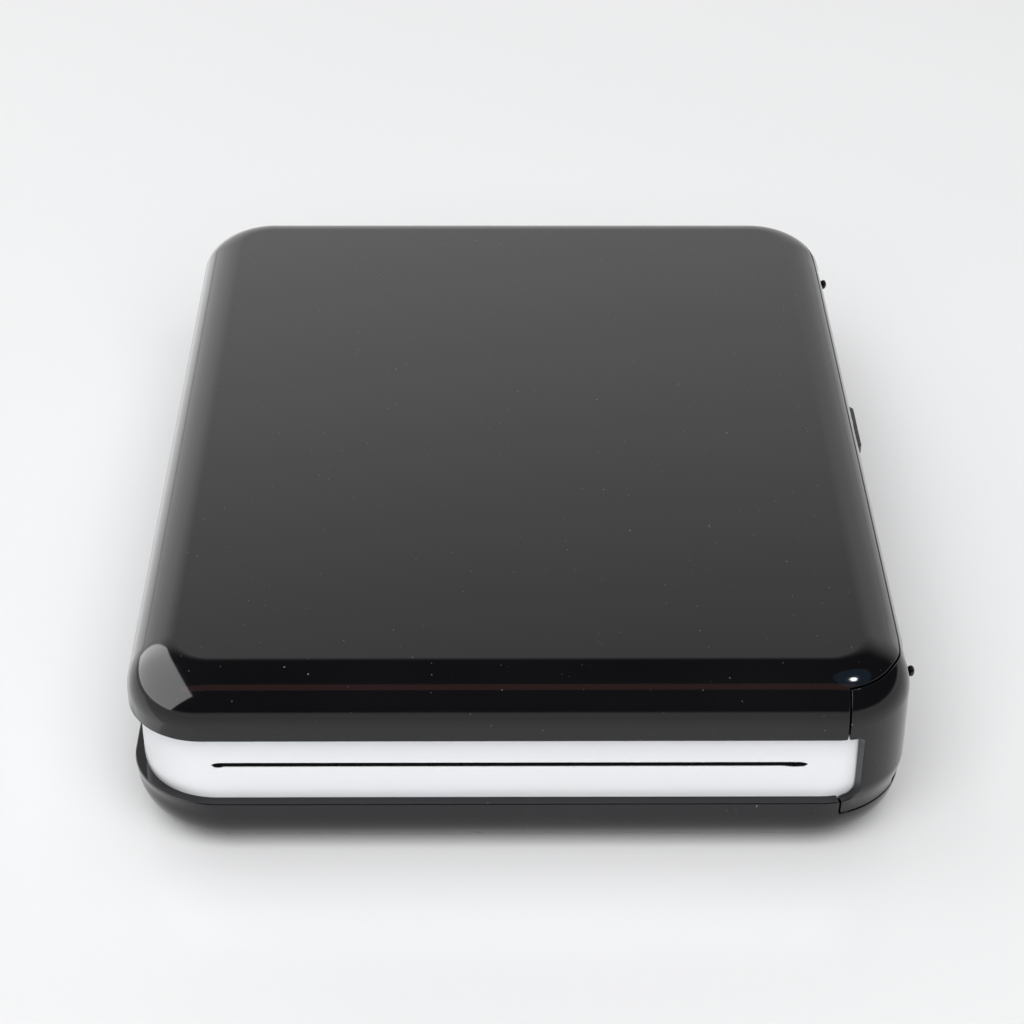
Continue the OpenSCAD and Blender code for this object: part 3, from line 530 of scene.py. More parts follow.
def lathe(outline, origin, axis, steps=48):
    """A turned form: outline is (radius, height) from the bottom's middle to the top's."""
    part = Part()
    axis = np.array(axis, float)
    side = np.array([0, 0, 1.0]) if abs(axis[2]) < 0.5 else np.array([1.0, 0, 0])
    e1 = np.cross(side, axis)
    e1 /= np.linalg.norm(e1)
    e2 = np.cross(axis, e1)
    outs = [e1 * c + e2 * s for c, s in circle(0, 0, 1, steps)]
    pts = np.array(outline, float)
    rings = []
    for (r, h), (tr, th) in zip(pts, tangents(pts)):
        if r < 1e-9:
            way = 1.0 if h > pts[:, 1].mean() else -1.0
            rings.append(part.add([np.array(origin) + axis * h], [axis * way]))
            continue
        co = [np.array(origin) + out * r + axis * h for out in outs]
        rings.append(part.add(co, [out * th - axis * tr for out in outs]))
    for one, two in zip(rings, rings[1:]):
        for k in range(steps):
            j = (k + 1) % steps
            if len(one) == 1:
                part.faces.append([one[0], two[j], two[k]])
            elif len(two) == 1:
                part.faces.append([one[k], one[j], two[0]])
            else:
                part.faces.append([one[k], one[j], two[j], two[k]])
    return part


def pin_outline(r, h0, h1, b0, b1, steps=5):
    """A pin's outline with a rounded edge at each end."""
    out = [(0, h0), (max(r - b0, 1e-3) * 0.6, h0)]
    for k in range(steps + 1):
        a = math.pi / 2 * k / steps
        out.append((r - b0 + b0 * math.sin(a), h0 + b0 * (1 - math.cos(a))))
    for k in range(steps + 1):
        a = math.pi / 2 * k / steps
        out.append((r - b1 + b1 * math.cos(a), h1 - b1 * (1 - math.sin(a))))
    return out + [(max(r - b1, 1e-3) * 0.6, h1), (0, h1)]


def soft_prism(outline, z0, z1, b):
    """An upright prism with all its edges rounded. outline runs anticlockwise. The normals lean to
    the larger faces, so that flats stay flat."""
    bm = bmesh.new()
    low = [bm.verts.new((x, y, z0)) for x, y in outline]
    top = [bm.verts.new((x, y, z1)) for x, y in outline]
    bm.faces.new(low[::-1])
    bm.faces.new(top)
    n = len(outline)
    for i in range(n):
        j = (i + 1) % n
        bm.faces.new([low[i], low[j], top[j], top[i]])
    bm.normal_update()
    sharp = [e for e in bm.edges if e.calc_face_angle(0) > math.radians(25)]
    bmesh.ops.bevel(bm, geom=sharp, offset=b, segments=3, profile=0.5, affect="EDGES")
    part = Part()
    bm.normal_update()
    bm.verts.ensure_lookup_table()
    no = [sum((f.normal * f.calc_area() for f in v.link_faces), Vector()).normalized() for v in bm.verts]
    part.add([v.co for v in bm.verts], no)
    part.faces = [[v.index for v in f.verts] for f in bm.faces]
    bm.free()
    return part


def soft_box(x0, x1, y0, y1, z0, z1, b):
    return soft_prism([(x0, y0), (x1, y0), (x1, y1), (x0, y1)], z0, z1, b)


def placed(name, data):
    """A new object in the scene."""
    obj = bpy.data.objects.new(name, data)
    bpy.context.scene.collection.objects.link(obj)
    return obj


def publish(name, parts, material, body, nodes=(), lining=None):
    """One piece of the object from its parts, with another look on the sheets' inner skins."""
    co = []
    no = []
    faces = []
    looks = []
    merged = {}
    for part in parts:
        remap = []
        for c, n in zip(part.co, part.no):
            key = tuple(round(x * MERGE_STEPS) for x in c) + tuple(round(x * 2) for x in n)
            if key not in merged:
                merged[key] = len(co)
                co.append(((c[0] + MID_X) * MM, c[1] * MM, c[2] * MM))
                no.append(n)
            remap.append(merged[key])
        for at, f in enumerate(part.faces):
            g = [remap[i] for i in f]
            g = [x for k, x in enumerate(g) if x != g[k - 1]]
            if len(set(g)) >= 3:
                faces.append(g)
                looks.append(1 if lining and at in part.inner else 0)
    mesh = bpy.data.meshes.new(name)
    mesh.from_pydata(co, [], faces)
    mesh.materials.append(material)
    if lining:
        mesh.materials.append(lining)
        mesh.polygons.foreach_set("material_index", looks)
    mesh.validate()
    mesh.shade_smooth()
    mesh.normals_split_custom_set_from_vertices(no)
    obj = placed(name, mesh)
    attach(obj, body)
    if nodes:
        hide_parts(*nodes)


# ---- materials
class Tree:
    """A short way to write a node tree."""

    def __init__(self, tree):
        self.tree = tree

    def make(self, kind, **props):
        node = self.tree.nodes.new(kind)
        for key, value in props.items():
            setattr(node, key, value)
        return node

    def link(self, a, b):
        self.tree.links.new(a, b)

    def ramp(self, value, lo, hi, out_lo, out_hi, smooth=False):
        node = self.make("ShaderNodeMapRange")
        node.interpolation_type = "SMOOTHSTEP" if smooth else "LINEAR"
        node.inputs["From Min"].default_value = lo
        node.inputs["From Max"].default_value = hi
        node.inputs["To Min"].default_value = out_lo
        node.inputs["To Max"].default_value = out_hi
        self.link(value, node.inputs["Value"])
        return node.outputs["Result"]

    def math(self, op, a, b=0.0):
        node = self.make("ShaderNodeMath", operation=op)
        for socket, value in zip(node.inputs, (a, b)):
            if isinstance(value, (int, float)):
                socket.default_value = value
            else:
                self.link(value, socket)
        return node.outputs[0]


class Nodes(Tree):
    """A material's node tree."""

    def __init__(self, name):
        self.mat = bpy.data.materials.new(name)
        self.mat.use_nodes = True
        super().__init__(self.mat.node_tree)
        self.bsdf = self.tree.nodes["Principled BSDF"]
        self.place = self.make("ShaderNodeTexCoord").outputs["Object"]

    def set(self, socket, value):
        """Puts a number or another node's output on one of the shader's sockets."""
        if isinstance(value, float):
            self.bsdf.inputs[socket].default_value = value
        else:
            self.link(value, self.bsdf.inputs[socket])

    def scaled(self, scale):
        node = self.make("ShaderNodeMapping")
        node.inputs["Scale"].default_value = scale
        self.link(self.place, node.inputs["Vector"])
        return node.outputs["Vector"]

    def noise(self, scale, detail=2.0, rough=0.5, stretch=None):
        node = self.make("ShaderNodeTexNoise")
        node.inputs["Scale"].default_value = scale
        node.inputs["Detail"].default_value = detail
        node.inputs["Roughness"].default_value = rough
        self.link(self.scaled(stretch) if stretch else self.place, node.inputs["Vector"])
        return node.outputs["Fac"]

    def cloud(self, scale, detail, lo=0.0, hi=1.0):
        """Soft noise that runs from lo to hi."""
        return self.ramp(self.noise(scale, detail), 0.3, 0.7, lo, hi)

    def mix(self, fac, a, b):
        node = self.make("ShaderNodeMix", data_type="RGBA")
        self.link(fac, node.inputs["Factor"])
        for socket, value in ((node.inputs[6], a), (node.inputs[7], b)):
            if isinstance(value, tuple):
                socket.default_value = (*value, 1.0)
            else:
                self.link(value, socket)
        return node.outputs[2]

    def bump(self, height, distance, strength=1.0, after=None):
        node = self.make("ShaderNodeBump")
        node.inputs["Strength"].default_value = strength
        node.inputs["Distance"].default_value = distance
        self.link(height, node.inputs["Height"])
        if after is not None:
            self.link(after, node.inputs["Normal"])
        return node.outputs["Normal"]

    def soften(self, radius):
        """Rounds the edges of a carried-over CAD node in its shading."""
        node = self.make("ShaderNodeBevel", samples=4)
        node.inputs["Radius"].default_value = radius
        return node.outputs["Normal"]

    def speck(self, scale, size, stretch=(1, 1, 1)):
        """Small round or drawn-out specks, one near each point of a scattered grid."""
        node = self.make("ShaderNodeTexVoronoi")
        node.inputs["Scale"].default_value = scale
        node.inputs["Randomness"].default_value = 1.0
        self.link(self.scaled(stretch), node.inputs["Vector"])
        near = self.ramp(node.outputs["Distance"], size * 0.4, size, 1.0, 0.0, True)
        pick = self.make("ShaderNodeSeparateColor")
        self.link(node.outputs["Color"], pick.inputs["Color"])
        return near, pick.outputs["Red"]


# Fine, coarse and drawn-out dust: the grid's scale, a speck's radius, their share and the stretch
DUST = ((780.0, 0.07, 3.0, (1, 1, 1)), (330.0, 0.044, 3.0, (1, 1, 1)), (260.0, 0.03, 2.0, (1, 0.25, 0.5)))


def gloss_black(name, base, dust):
    """Polished black plastic with faint mottling and fine dust."""
    n = Nodes(name)
    cloud = n.noise(60.0, 3.0)
    tone = n.mix(n.ramp(cloud, 0.35, 0.65, 0, 1), base, tuple(c * 1.25 for c in base))
    specks = []
    for scale, size, share, stretch in DUST:
        share *= dust
        near, pick = n.speck(scale, size, stretch)
        specks.append(n.math("MULTIPLY", near, n.ramp(pick, 1 - share, 1.0, 0.15, 0.75)))
        specks[-1] = n.math("MULTIPLY", specks[-1], n.ramp(pick, 1 - share, 1 - share + 0.002, 0, 1))
    speck = n.math("MULTIPLY", n.math("MAXIMUM", n.math("MAXIMUM", *specks[:2]), specks[2]), 0.5)
    n.set("Base Color", n.mix(speck, tone, (0.55, 0.56, 0.58)))
    haze = n.cloud(25.0, 4.0, 0.05, 0.085)
    n.set("Roughness", n.math("MAXIMUM", haze, speck))
    n.set("Normal", n.bump(n.noise(9.0, 1.0), 0.00004, 0.35))
    return n.mat


def gloss_white(name, base):
    """Polished white plastic, a little blue."""
    n = Nodes(name)
    cloud = n.cloud(40.0, 3.0)
    n.set("Base Color", n.mix(cloud, base, tuple(c * 0.985 for c in base)))
    n.set("Roughness", n.cloud(90.0, 4.0, 0.1, 0.16))
    n.set("Normal", n.bump(n.noise(12.0, 1.0), 0.00005, 0.3))
    return n.mat


def satin(name, base, rough, grain=2500.0, depth=0.00004, spread=0.12, edge=0.00015):
    """Moulded plastic or rubber with a fine grain."""
    n = Nodes(name)
    cloud = n.cloud(120.0, 4.0)
    low = tuple(c * (1 - spread) for c in base)
    high = tuple(min(1.0, c * (1 + spread)) for c in base)
    n.set("Base Color", n.mix(cloud, low, high))
    n.set("Roughness", n.cloud(300.0, 4.0, rough - 0.06, rough + 0.06))
    n.set("Normal", n.bump(n.noise(grain, 3.0), depth, 0.6, n.soften(edge)))
    return n.mat


def metal(name, base, rough, stretch, scale=900.0, depth=0.00003, spread=0.12, edge=0.00012):
    """Metal with a grain drawn along one direction."""
    n = Nodes(name)
    grain = n.noise(scale, 4.0, 0.6, stretch)
    tone = n.ramp(grain, 0.3, 0.7, 0, 1)
    low = tuple(c * (1 - spread) for c in base)
    n.set("Base Color", n.mix(tone, low, base))
    n.set("Roughness", n.cloud(200.0, 4.0, rough - 0.07, rough + 0.07))
    n.set("Normal", n.bump(grain, depth, 0.5, n.soften(edge)))
    n.set("Metallic", 1.0)
    return n.mat


def board(name):
    """Green solder mask with copper tracks under it."""
    n = Nodes(name)
    brick = n.make("ShaderNodeTexBrick")
    brick.offset = 0.5
    brick.inputs["Scale"].default_value = 420.0
    brick.inputs["Mortar Size"].default_value = 0.03
    n.link(n.place, brick.inputs["Vector"])
    cloud = n.ramp(n.noise(150.0, 3.0), 0.45, 0.55, 0, 1)
    on = n.math("MULTIPLY", brick.outputs["Fac"], cloud)
    n.set("Base Color", n.mix(on, (0.012, 0.095, 0.042), (0.05, 0.22, 0.09)))
    n.set("Roughness", n.cloud(400.0, 3.0, 0.25, 0.38))
    n.set("Normal", n.bump(on, 0.00006, 0.6, n.soften(0.0001)))
    return n.mat


def clear(name):
    """Clear light pipe."""
    n = Nodes(name)
    n.set("Transmission Weight", 0.85)
    n.set("IOR", 1.49)
    n.set("Base Color", n.mix(n.noise(300.0, 2.0), (0.86, 0.93, 0.97), (0.93, 0.97, 1.0)))
    n.set("Roughness", n.cloud(500.0, 3.0, 0.08, 0.2))
    return n.mat


GLOSS = gloss_black("gloss_black", (0.0034, 0.0034, 0.0042), 0.16)
GLOSS_LOW = gloss_black("gloss_black_low", (0.0036, 0.0035, 0.0048), 0.3)
WHITE = gloss_white("gloss_white", (0.80, 0.815, 0.835))
TRIM = satin("trim_black", (0.012, 0.012, 0.013), 0.3)
MATT = satin("inside_black", (0.011, 0.011, 0.012), 0.46)
BUTTON = satin("button_grey", (0.62, 0.63, 0.65), 0.34, 2600.0, 0.00003, 0.04)

# Each look with the CAD nodes that wear it
LOOKS = (
    (satin("foot_rubber", (0.035, 0.035, 0.037), 0.72, 1800.0, 0.00008), ("feet",)),
    (satin("roller_rubber", (0.022, 0.022, 0.024), 0.6, 3000.0, 0.00005), ("platen_sleeve",)),
    (satin("grey_rubber", (0.07, 0.07, 0.075), 0.6, 3000.0, 0.00005), ("pinch_sleeve",)),
    (metal("screw_steel", (0.10, 0.10, 0.105), 0.38, (1, 1, 6)), ("case_screws", "frame_screws")),
    (metal("bright_steel", (0.64, 0.64, 0.66), 0.22, (0.05, 1, 1)),
     ("hinge_pins", "head_pivot", "head_springs", "platen_shaft", "drive_roller", "pinch_shaft",
      "motor_shaft", "idler_posts", "charging_socket")),
    (metal("plate_steel", (0.56, 0.57, 0.59), 0.33, (1, 0.04, 1)),
     ("left_plate", "right_plate", "base_tray", "bar_keeper", "door_keepers", "radio_module",
      "head_arm")),
    (metal("magnet_nickel", (0.58, 0.58, 0.6), 0.2, (1, 1, 1)), ("band_magnets",)),
    (satin("bay_plastic", (0.045, 0.045, 0.048), 0.45),
     ("bay_floor", "exit_guide", "middle_guide", "feed_guide")),
    (metal("milled_alu", (0.80, 0.81, 0.82), 0.3, (0.04, 1, 1)), ("heat_sink",)),
    (satin("ceramic", (0.80, 0.78, 0.70), 0.2, 900.0, 0.00002, 0.04), ("print_head",)),
    (satin("connector", (0.80, 0.79, 0.72), 0.4), ("head_connector",)),
    (satin("gear_nylon", (0.80, 0.80, 0.76), 0.42, 2200.0, 0.00003, 0.05),
     ("platen_gear", "drive_gear", "front_idler", "rear_idler", "small_idler", "takeup_hub",
      "takeup_gear", "supply_hub")),
    (satin("oiled_bush", (0.13, 0.09, 0.05), 0.4),
     ("platen_bushes", "drive_bushes", "pinch_bushes", "hub_bushes")),
    (metal("motor_can", (0.5, 0.51, 0.54), 0.3, (1, 1, 0.06)), ("feed_motor",)),
    (metal("brass", (0.80, 0.58, 0.24), 0.25, (1, 1, 1)), ("motor_pinion",)),
    (board("solder_mask"), ("main_board",)),
    (satin("chip_black", (0.028, 0.028, 0.03), 0.5), ("board_parts", "paper_sensor", "power_switch")),
    (satin("battery_wrap", (0.20, 0.26, 0.36), 0.28, 600.0, 0.0001, 0.08), ("battery_pack",)),
    (satin("foam", (0.04, 0.04, 0.043), 0.9, 1500.0, 0.0004), ("battery_pad",)),
    (satin("wire_red", (0.42, 0.03, 0.022), 0.4), ("battery_leads",)),
    (satin("lamp", (0.85, 0.85, 0.72), 0.3), ("status_lamp",)),
    (clear("clear_pipe"), ("light_pipe",)),
)
for look, members in LOOKS:
    for member in members:
        obj = frame["nodes"][member]
        obj.data.materials.clear()
        obj.data.materials.append(look)

# ---- top cover
FLAT_V = BEND_Z + TOP_R * math.pi / 2
BEND_ROWS = [BEND_Z + (FLAT_V - BEND_Z) * k / 26 for k in range(27)]
TOP_ROWS = [LIP_Z + 0.4, LIP_Z + 1.0] + BEND_ROWS + [FLAT_V + 0.4]
TOP_RING_V = FLAT_V + 1.2
WING_SEAM_V = v_at_z(WING_SEAM_Z)


def loop_weld(u, v0, v1, rows):
    lo, hi = min(v0, v1), max(v0, v1)
    return [(u, lo)] + [(u, r) for r in rows if lo + 0.15 < r < hi - 0.15] + [(u, hi)]


def top_cover():
    edge_v = WING_SEAM_V + TOP_SEAM / 2

    def edge(u):
        return top_seam_v(u, TOP_SEAM / 2)

    rim = joined([
        along(0.0, u_at_x(DOOR_X, edge_v, True), edge),
        upright(edge_v, LIP_Z, at_x(DOOR_X, True)),
        along(u_at_x(DOOR_X, LIP_Z, True), u_at_x(DOOR_X, LIP_Z), LIP_Z),
        upright(LIP_Z, edge_v, at_x(DOOR_X)),
        along(u_at_x(DOOR_X, edge_v), LOOP, edge),
    ], OUTLINE_R, False)
    low = edge(0.0) + TOP_BEVEL
    welds = [loop_weld(u, low, TOP_RING_V, TOP_ROWS) for u in (0.0, LOOP)]
    welds.append([(u, TOP_RING_V) for u in STATIONS])
    part, over, under = sheet([(rim, False)], welds, TOP_ROWS, 0.0, WALL, TOP_BEVEL)
    fill_flat(part, [over[:-1]], True)
    fill_flat(part, [under[:-1]], False)
    return part


def top_liner():
    """The frame behind the door's top lip."""
    v0 = BEND_Z
    v1 = WING_SEAM_V + 0.9
    vm = v_at_z(MOUTH_TOP_Z)
    front, near = at_x(DOOR_X - 2, False, -LOOP), at_y(-MOUTH_Y, -LOOP)
    rear, far = at_x(DOOR_X - 2, True), at_y(MOUTH_Y)
    line = joined([
        along(front(v0), near(v0), v0),
        upright(v0, vm, near),
        along(near(vm), far(vm), vm),
        upright(vm, v0, far),
        along(far(v0), rear(v0), v0),
        upright(v0, v1, rear),
        along(rear(v1), front(v1), v1),
        upright(v1, v0, front),
    ], OUTLINE_R, True)
    rows = [v0 + (v1 - v0) * k / 10 for k in range(1, 10)]
    return sheet([(line, True)], [], rows, WALL - 0.05, BAND_IN + BAND_T, BAND_BEVEL, cols=SIDE_STATIONS)[0]


publish("top_shell", [top_cover(), top_liner()], GLOSS, HOUSING, ("top_cover",),
        lining=MATT)


# ---- bottom cover
LOW_FLAT_V = LOW_BEND_Z - LOW_R * math.pi / 2
LOW_RING_V = LOW_FLAT_V - 0.6
LOW_ROWS = [LOW_FLAT_V + (LOW_BEND_Z - LOW_FLAT_V) * k / 22 for k in range(23)] + [LOW_BEND_Z + 0.9]


def uv_below(x, y):
    """The place on the underside, in the rear right quarter's terms and mirrored to the others."""
    ex = HALF_W - PLAN_R_LOW
    ey = HALF_D - PLAN_R_LOW
    a = math.atan2(abs(y) - ey, abs(x) - ex)
    inset = PLAN_R_LOW - math.hypot(abs(x) - ex, abs(y) - ey)
    v = LOW_BEND_Z - LOW_R * math.acos(max(-1.0, 1 - inset / LOW_R))
    u = STARTS[1] + a / (math.pi / 2) * ARC
    if x < 0:
        u = (STARTS[2] + STARTS[3]) - u
    if y < 0:
        u = LOOP - u
    return u, v


def foot_pocket(part, sx, sy):
    """A round pocket for one foot. Its rim is given back."""
    ring = circle(sx * FOOT_X, sy * FOOT_Y, FOOT_R + FOOT_PLAY, FOOT_STEPS)
    low = [(x, y, FOOT_GAP) for x, y in ring]
    deep = [(x, y, FOOT_GAP + FOOT_POCKET) for x, y in ring]
    down = [(0, 0, -1)] * FOOT_STEPS
    inwards = [(-x, -y, 0) for x, y in circle(0, 0, 1, FOOT_STEPS)]
    rim = part.add(low, down)
    part.bridge(part.add(low, inwards), part.add(deep, inwards))
    part.faces.append(part.add(deep, down)[::-1])
    return rim


def bottom_cover():
    front, rear = at_x(DOOR_LOW_X), at_x(DOOR_LOW_X, True)
    wing_v = BASE_WING_Z
    rim = joined([
        along(LOOP, front(wing_v), base_top_v),
        upright(wing_v, LEDGE_Z, front),
        along(front(LEDGE_Z), rear(LEDGE_Z), LEDGE_Z),
        upright(LEDGE_Z, wing_v, rear),
        along(rear(wing_v), 0.0, base_top_v),
    ], OUTLINE_R, False)
    high = BASE_TOP_Z - BASE_BEVEL
    welds = [loop_weld(u, LOW_RING_V, high, LOW_ROWS) for u in (0.0, LOOP)]
    welds.append([(u, LOW_RING_V) for u in STATIONS])
    rims = [(rim, False)]
    for sx, sy in QUARTERS:
        ring = [uv_below(*q) for q in circle(sx * SCREW_X, sy * SCREW_Y, SCREW_HOLE_R, SCREW_STEPS)]
        area = sum(p[0] * q[1] - p[1] * q[0] for p, q in zip(ring, ring[1:] + ring[:1]))
        rims.append((ring if area < 0 else ring[::-1], True))
    part, over, under = sheet(rims, welds, LOW_ROWS, 0.0, WALL, BASE_BEVEL)
    holes = [foot_pocket(part, sx, sy) for sx, sy in QUARTERS]
    fill_flat(part, [over[:-1]] + holes, False)
    fill_flat(part, [under[:-1]], True)
    return part


def knuckles():
    half = KNUCKLE_L / 2
    web = half - 0.05
    out = []
    for y in KNUCKLES:
        turned = pin_outline(BARREL_R, y - half, y + half, 0.12, 0.12)
        out.append(lathe(turned, (HINGE_X, 0, HINGE_Z), (0, 1, 0)))
        out.append(soft_box(HALF_W - WALL, HINGE_X + BARREL_R / 2, y - web, y + web,
                            BASE_TOP_Z - 0.7, HINGE_Z, 0.08))
    return out


publish("base_shell", [bottom_cover()] + knuckles(), GLOSS_LOW, HOUSING, ("bottom_cover",),
        lining=MATT)


# ---- middle band
def band_depth(u, v):
    """The band's skin, thinned where the hinge barrel turns beside it."""
    near = np.clip((REF_Y + 6.0 - from_side(u)) / 3.0, 0, 1)
    room = np.sqrt(np.maximum(1.3 ** 2 - (v - HINGE_Z) ** 2, 0)) + HALF_W - HINGE_X
    return np.where(room > BAND_IN, BAND_IN + (room - BAND_IN) * near, BAND_IN)


def middle_band():
    low = 7.3
    high = LIP_Z + 1.2
    near, far = at_y(-MOUTH_Y), at_y(MOUTH_Y)
    bottom = along(0.0, LOOP, low)
    top = joined([
        along(LOOP, near(MOUTH_Z), MOUTH_Z),
        upright(MOUTH_Z, high, near),
        along(near(high), far(high), high),
        upright(high, MOUTH_Z, far),
        along(far(MOUTH_Z), 0.0, MOUTH_Z),
    ], WINDOW_OUTLINE_R, False)
    rims = [(bottom, False), (top, False), (exit_slot(), True)]
    usb_u = u_at_x(USB_X, USB_Z, True)
    rims.append((capsule(usb_u, USB_Z, (USB_W - USB_H) / 2, USB_H / 2 + 0.1), True))
    rims.append((circle(u_at_x(BUTTON_X, BUTTON_Z, True), BUTTON_Z, BUTTON_R + 0.1, 56, -1), True))
    rims.append((circle(u_at_x(BUTTON_X + 10, BUTTON_Z, True), BUTTON_Z, 1.04, 32, -1), True))
    rows = [low + 0.5, LEDGE_Z, 9.6, 10.6, 12.0, 13.2, 14.8, 16.2, 17.6, LIP_Z, high - 0.4]
    welds = [loop_weld(u, low + BAND_BEVEL, MOUTH_Z - BAND_BEVEL, rows) for u in (0.0, LOOP)]
    return sheet(rims, welds, rows, band_depth, BAND_IN + BAND_T, BAND_BEVEL)[0]


def exit_slot():
    """The slot for the prints: pointed ends, each with a shallow dip on its lower side."""
    u0 = u_at_x(EXIT_X - EXIT_W / 2, EXIT_Z)
    u1 = u_at_x(EXIT_X + EXIT_W / 2, EXIT_Z)
    half = EXIT_H / 2
    tip = 0.9

    def dip(start, length, depth):
        """The lower side's extra drop along u."""
        return lambda u: depth * math.sin(math.pi * min(1.0, max(0.0, (u - start) / length))) ** 0.7

    left = dip(u0 + 0.15, 1.3, 0.16)
    right = dip(u1 - 2.85, 2.7, 0.14)
    line = []
    for k in range(1, 60):
        u = u0 + (u1 - u0) * 0.5 * (1 - math.cos(math.pi * k / 60))
        line.append((u, EXIT_Z + half * min(1.0, ((u - u0) / tip) ** 0.5, ((u1 - u) / tip) ** 0.5)))
    line.append((u1, EXIT_Z - 0.02))
    low = [u1 - 0.06 * k for k in range(1, 60)]
    low += [u1 - 3.6 - (u1 - u0 - 6.0) * k / 16 for k in range(1, 16)]
    low += [u0 + 2.4 - 0.06 * k for k in range(40)]
    for u in low:
        shape = min(1.0, ((u - u0) / 0.35) ** 0.5, ((u1 - u) / 0.35) ** 0.5)
        line.append((u, EXIT_Z - half * shape - left(u) - right(u)))
    line.append((u0, EXIT_Z - 0.02))
    return line


def slot_shade_liner():
    """Painted shade: a dark sleeve over the slot's walls, which are only in shade, set back a little from
    the band's skin.
    """
    part = Part()
    thin, thick = 0.008, 0.05
    start, stop = BAND_IN + 0.2, BAND_IN + BAND_T + 0.5
    rings = []
    for depth, off in ((start, thin), (start, thick), (stop, thick), (stop, thin)):
        p, b, _ = rim_frame(exit_slot(), True, depth)
        rings.append(part.add(p + b * off, b if off == thick else -b))
    for one, two in zip(rings, rings[1:] + rings[:1]):
        part.bridge(one, two)
    return part


publish("band_shell", [middle_band()], WHITE, HOUSING, ("middle_band",))
# The slot's dark sleeve is painted shade, a piece this scene adds to the CAD.
publish("slot_painted_shade", [slot_shade_liner()], TRIM, HOUSING, ())


# ---- side door
def door_depth(u, v):
    return DOOR_T + (DOOR_LIP_T - DOOR_T) * ease(v, (DOOR_LIP_Z - 0.5, DOOR_LIP_Z + 0.5))


def jamb_share(u, v):
    """1 along the window's upright edge and 0 on the rest of the door's outline."""
    over = ease(v, (LEDGE_Z + 0.6, LEDGE_Z + 2.2))
    under = 1 - ease(v, (LIP_Z - 0.5, LIP_Z + 0.1))
    return float(over * under) * float(ease(from_side(u), (62.0, 64.0)))


def window_edge(v):
    """The window's end in the wing at height v."""
    for r, off in ((WINDOW_LOW_R, LEDGE_Z + WINDOW_LOW_R - v), (WINDOW_HIGH_R, v - LIP_Z + WINDOW_HIGH_R)):
        if off > 0:
            return WINDOW_X - r + math.sqrt(max(0.0, r ** 2 - off ** 2))
    return WINDOW_X


def side_door():
    x0 = DOOR_X + SEAM
    xb = HINGE_X - 0.6
    top_v = WING_SEAM_V - TOP_SEAM / 2
    low_x = DOOR_LOW_X + SEAM
    past = max(0.0, low_x - WINDOW_X + WINDOW_LOW_R)
    sill = LEDGE_Z + WINDOW_LOW_R - math.sqrt(WINDOW_LOW_R ** 2 - past ** 2)

    def front(x, v):
        return u_at_x(x, v) - LOOP

    def rear(x, v):
        return u_at_x(x, v, True)

    def jamb(where, v0, v1):
        return upright(v0, v1, lambda v: where(window_edge(v), v), 0.3)

    legs = [
        along(front(low_x, WING_Z), front(xb, WING_Z), WING_Z),
        upright(WING_Z, HINGE_Z, lambda v: front(xb, v)),
        along(front(xb, HINGE_Z), rear(xb, HINGE_Z), HINGE_Z),
        upright(HINGE_Z, WING_Z, lambda v: rear(xb, v)),
        along(rear(xb, WING_Z), rear(low_x, WING_Z), WING_Z),
        upright(WING_Z, sill, lambda v: rear(low_x, v)),
        jamb(rear, sill, LIP_Z),
        along(rear(window_edge(LIP_Z), LIP_Z), rear(x0, LIP_Z), LIP_Z),
        upright(LIP_Z, top_v, lambda v: rear(x0, v)),
        along(rear(x0, top_v), front(x0, top_v), lambda u: top_seam_v(u, -TOP_SEAM / 2)),
        upright(top_v, LIP_Z, lambda v: front(x0, v)),
        along(front(x0, LIP_Z), front(window_edge(LIP_Z), LIP_Z), LIP_Z),
        jamb(front, LIP_Z, sill),
        upright(sill, WING_Z, lambda v: front(low_x, v)),
    ]
    line = joined(legs, DOOR_OUTLINE_R, True)
    flare = [JAMB_FLARE * jamb_share(u, v) for u, v in line]
    bar_slot = capsule(BAR_Y - STEM_OFF, BAR_Z, BAR_SLOT_HALF, BAR_SLOT_R)
    rims = [(line, True, flare), (bar_slot, True)]
    rows = [7.6, 8.4, 9.5, 11.0, 12.5, 14.0, 15.5, 17.0, 18.4, 19.6, 20.4] + [
        BEND_Z + (top_v - BEND_Z) * k / 14 for k in range(14)]
    return sheet(rims, [], rows, 0.0, door_depth, DOOR_BEVEL, cols=SIDE_STATIONS)[0]


def barrel(y0, y1):
    """A length of the hinge barrel, kept within the case's skin."""
    part = Part()
    end = 0.1
    lip = end * 0.3
    n = max(3, math.ceil((y1 - y0) / 1.2))
    ys = [y0, y0 + lip, y0 + end] + [y0 + (y1 - y0) * k / n for k in range(1, n)]
    ys += [y1 - end, y1 - lip, y1]
    scale = [1 - end, 1 - lip] + [1.0] * (len(ys) - 4) + [1 - lip, 1 - end]
    around = circle(0, 0, 1, 32)
    no = [(c, 0, s) for c, s in around]
    rings = []
    for y, size in zip(ys, scale):
        over = max(0.0, abs(y) - (HALF_D - PLAN_R_LOW))
        limit = HALF_W - PLAN_R_LOW + math.sqrt(PLAN_R_LOW ** 2 - over ** 2) - (1 - size)
        r = BARREL_R * size
        rings.append(part.add([(min(HINGE_X + r * c, limit), y, HINGE_Z + r * s) for c, s in around], no))
    for one, two in zip(rings, rings[1:]):
        for k in range(len(one)):
            j = (k + 1) % len(one)
            part.faces.append([two[j], two[k], one[k], one[j]])
    for ring, way in ((rings[0], -1), (rings[-1], 1)):
        cap = part.add([part.co[i] for i in ring], [(0, way, 0)] * len(ring))
        part.faces.append(cap if way < 0 else cap[::-1])
    return part


def barrels():
    gap = KNUCKLE_L / 2 + 0.2
    reach = 59.5
    cuts = [-reach]
    for y in KNUCKLES:
        cuts += [y - gap, y + gap]
    cuts.append(reach)
    return [barrel(a, b) for a, b in zip(cuts[::2], cuts[1::2])]


publish("door_shell", [side_door()] + barrels(), GLOSS, "door", ("side_door",), lining=MATT)


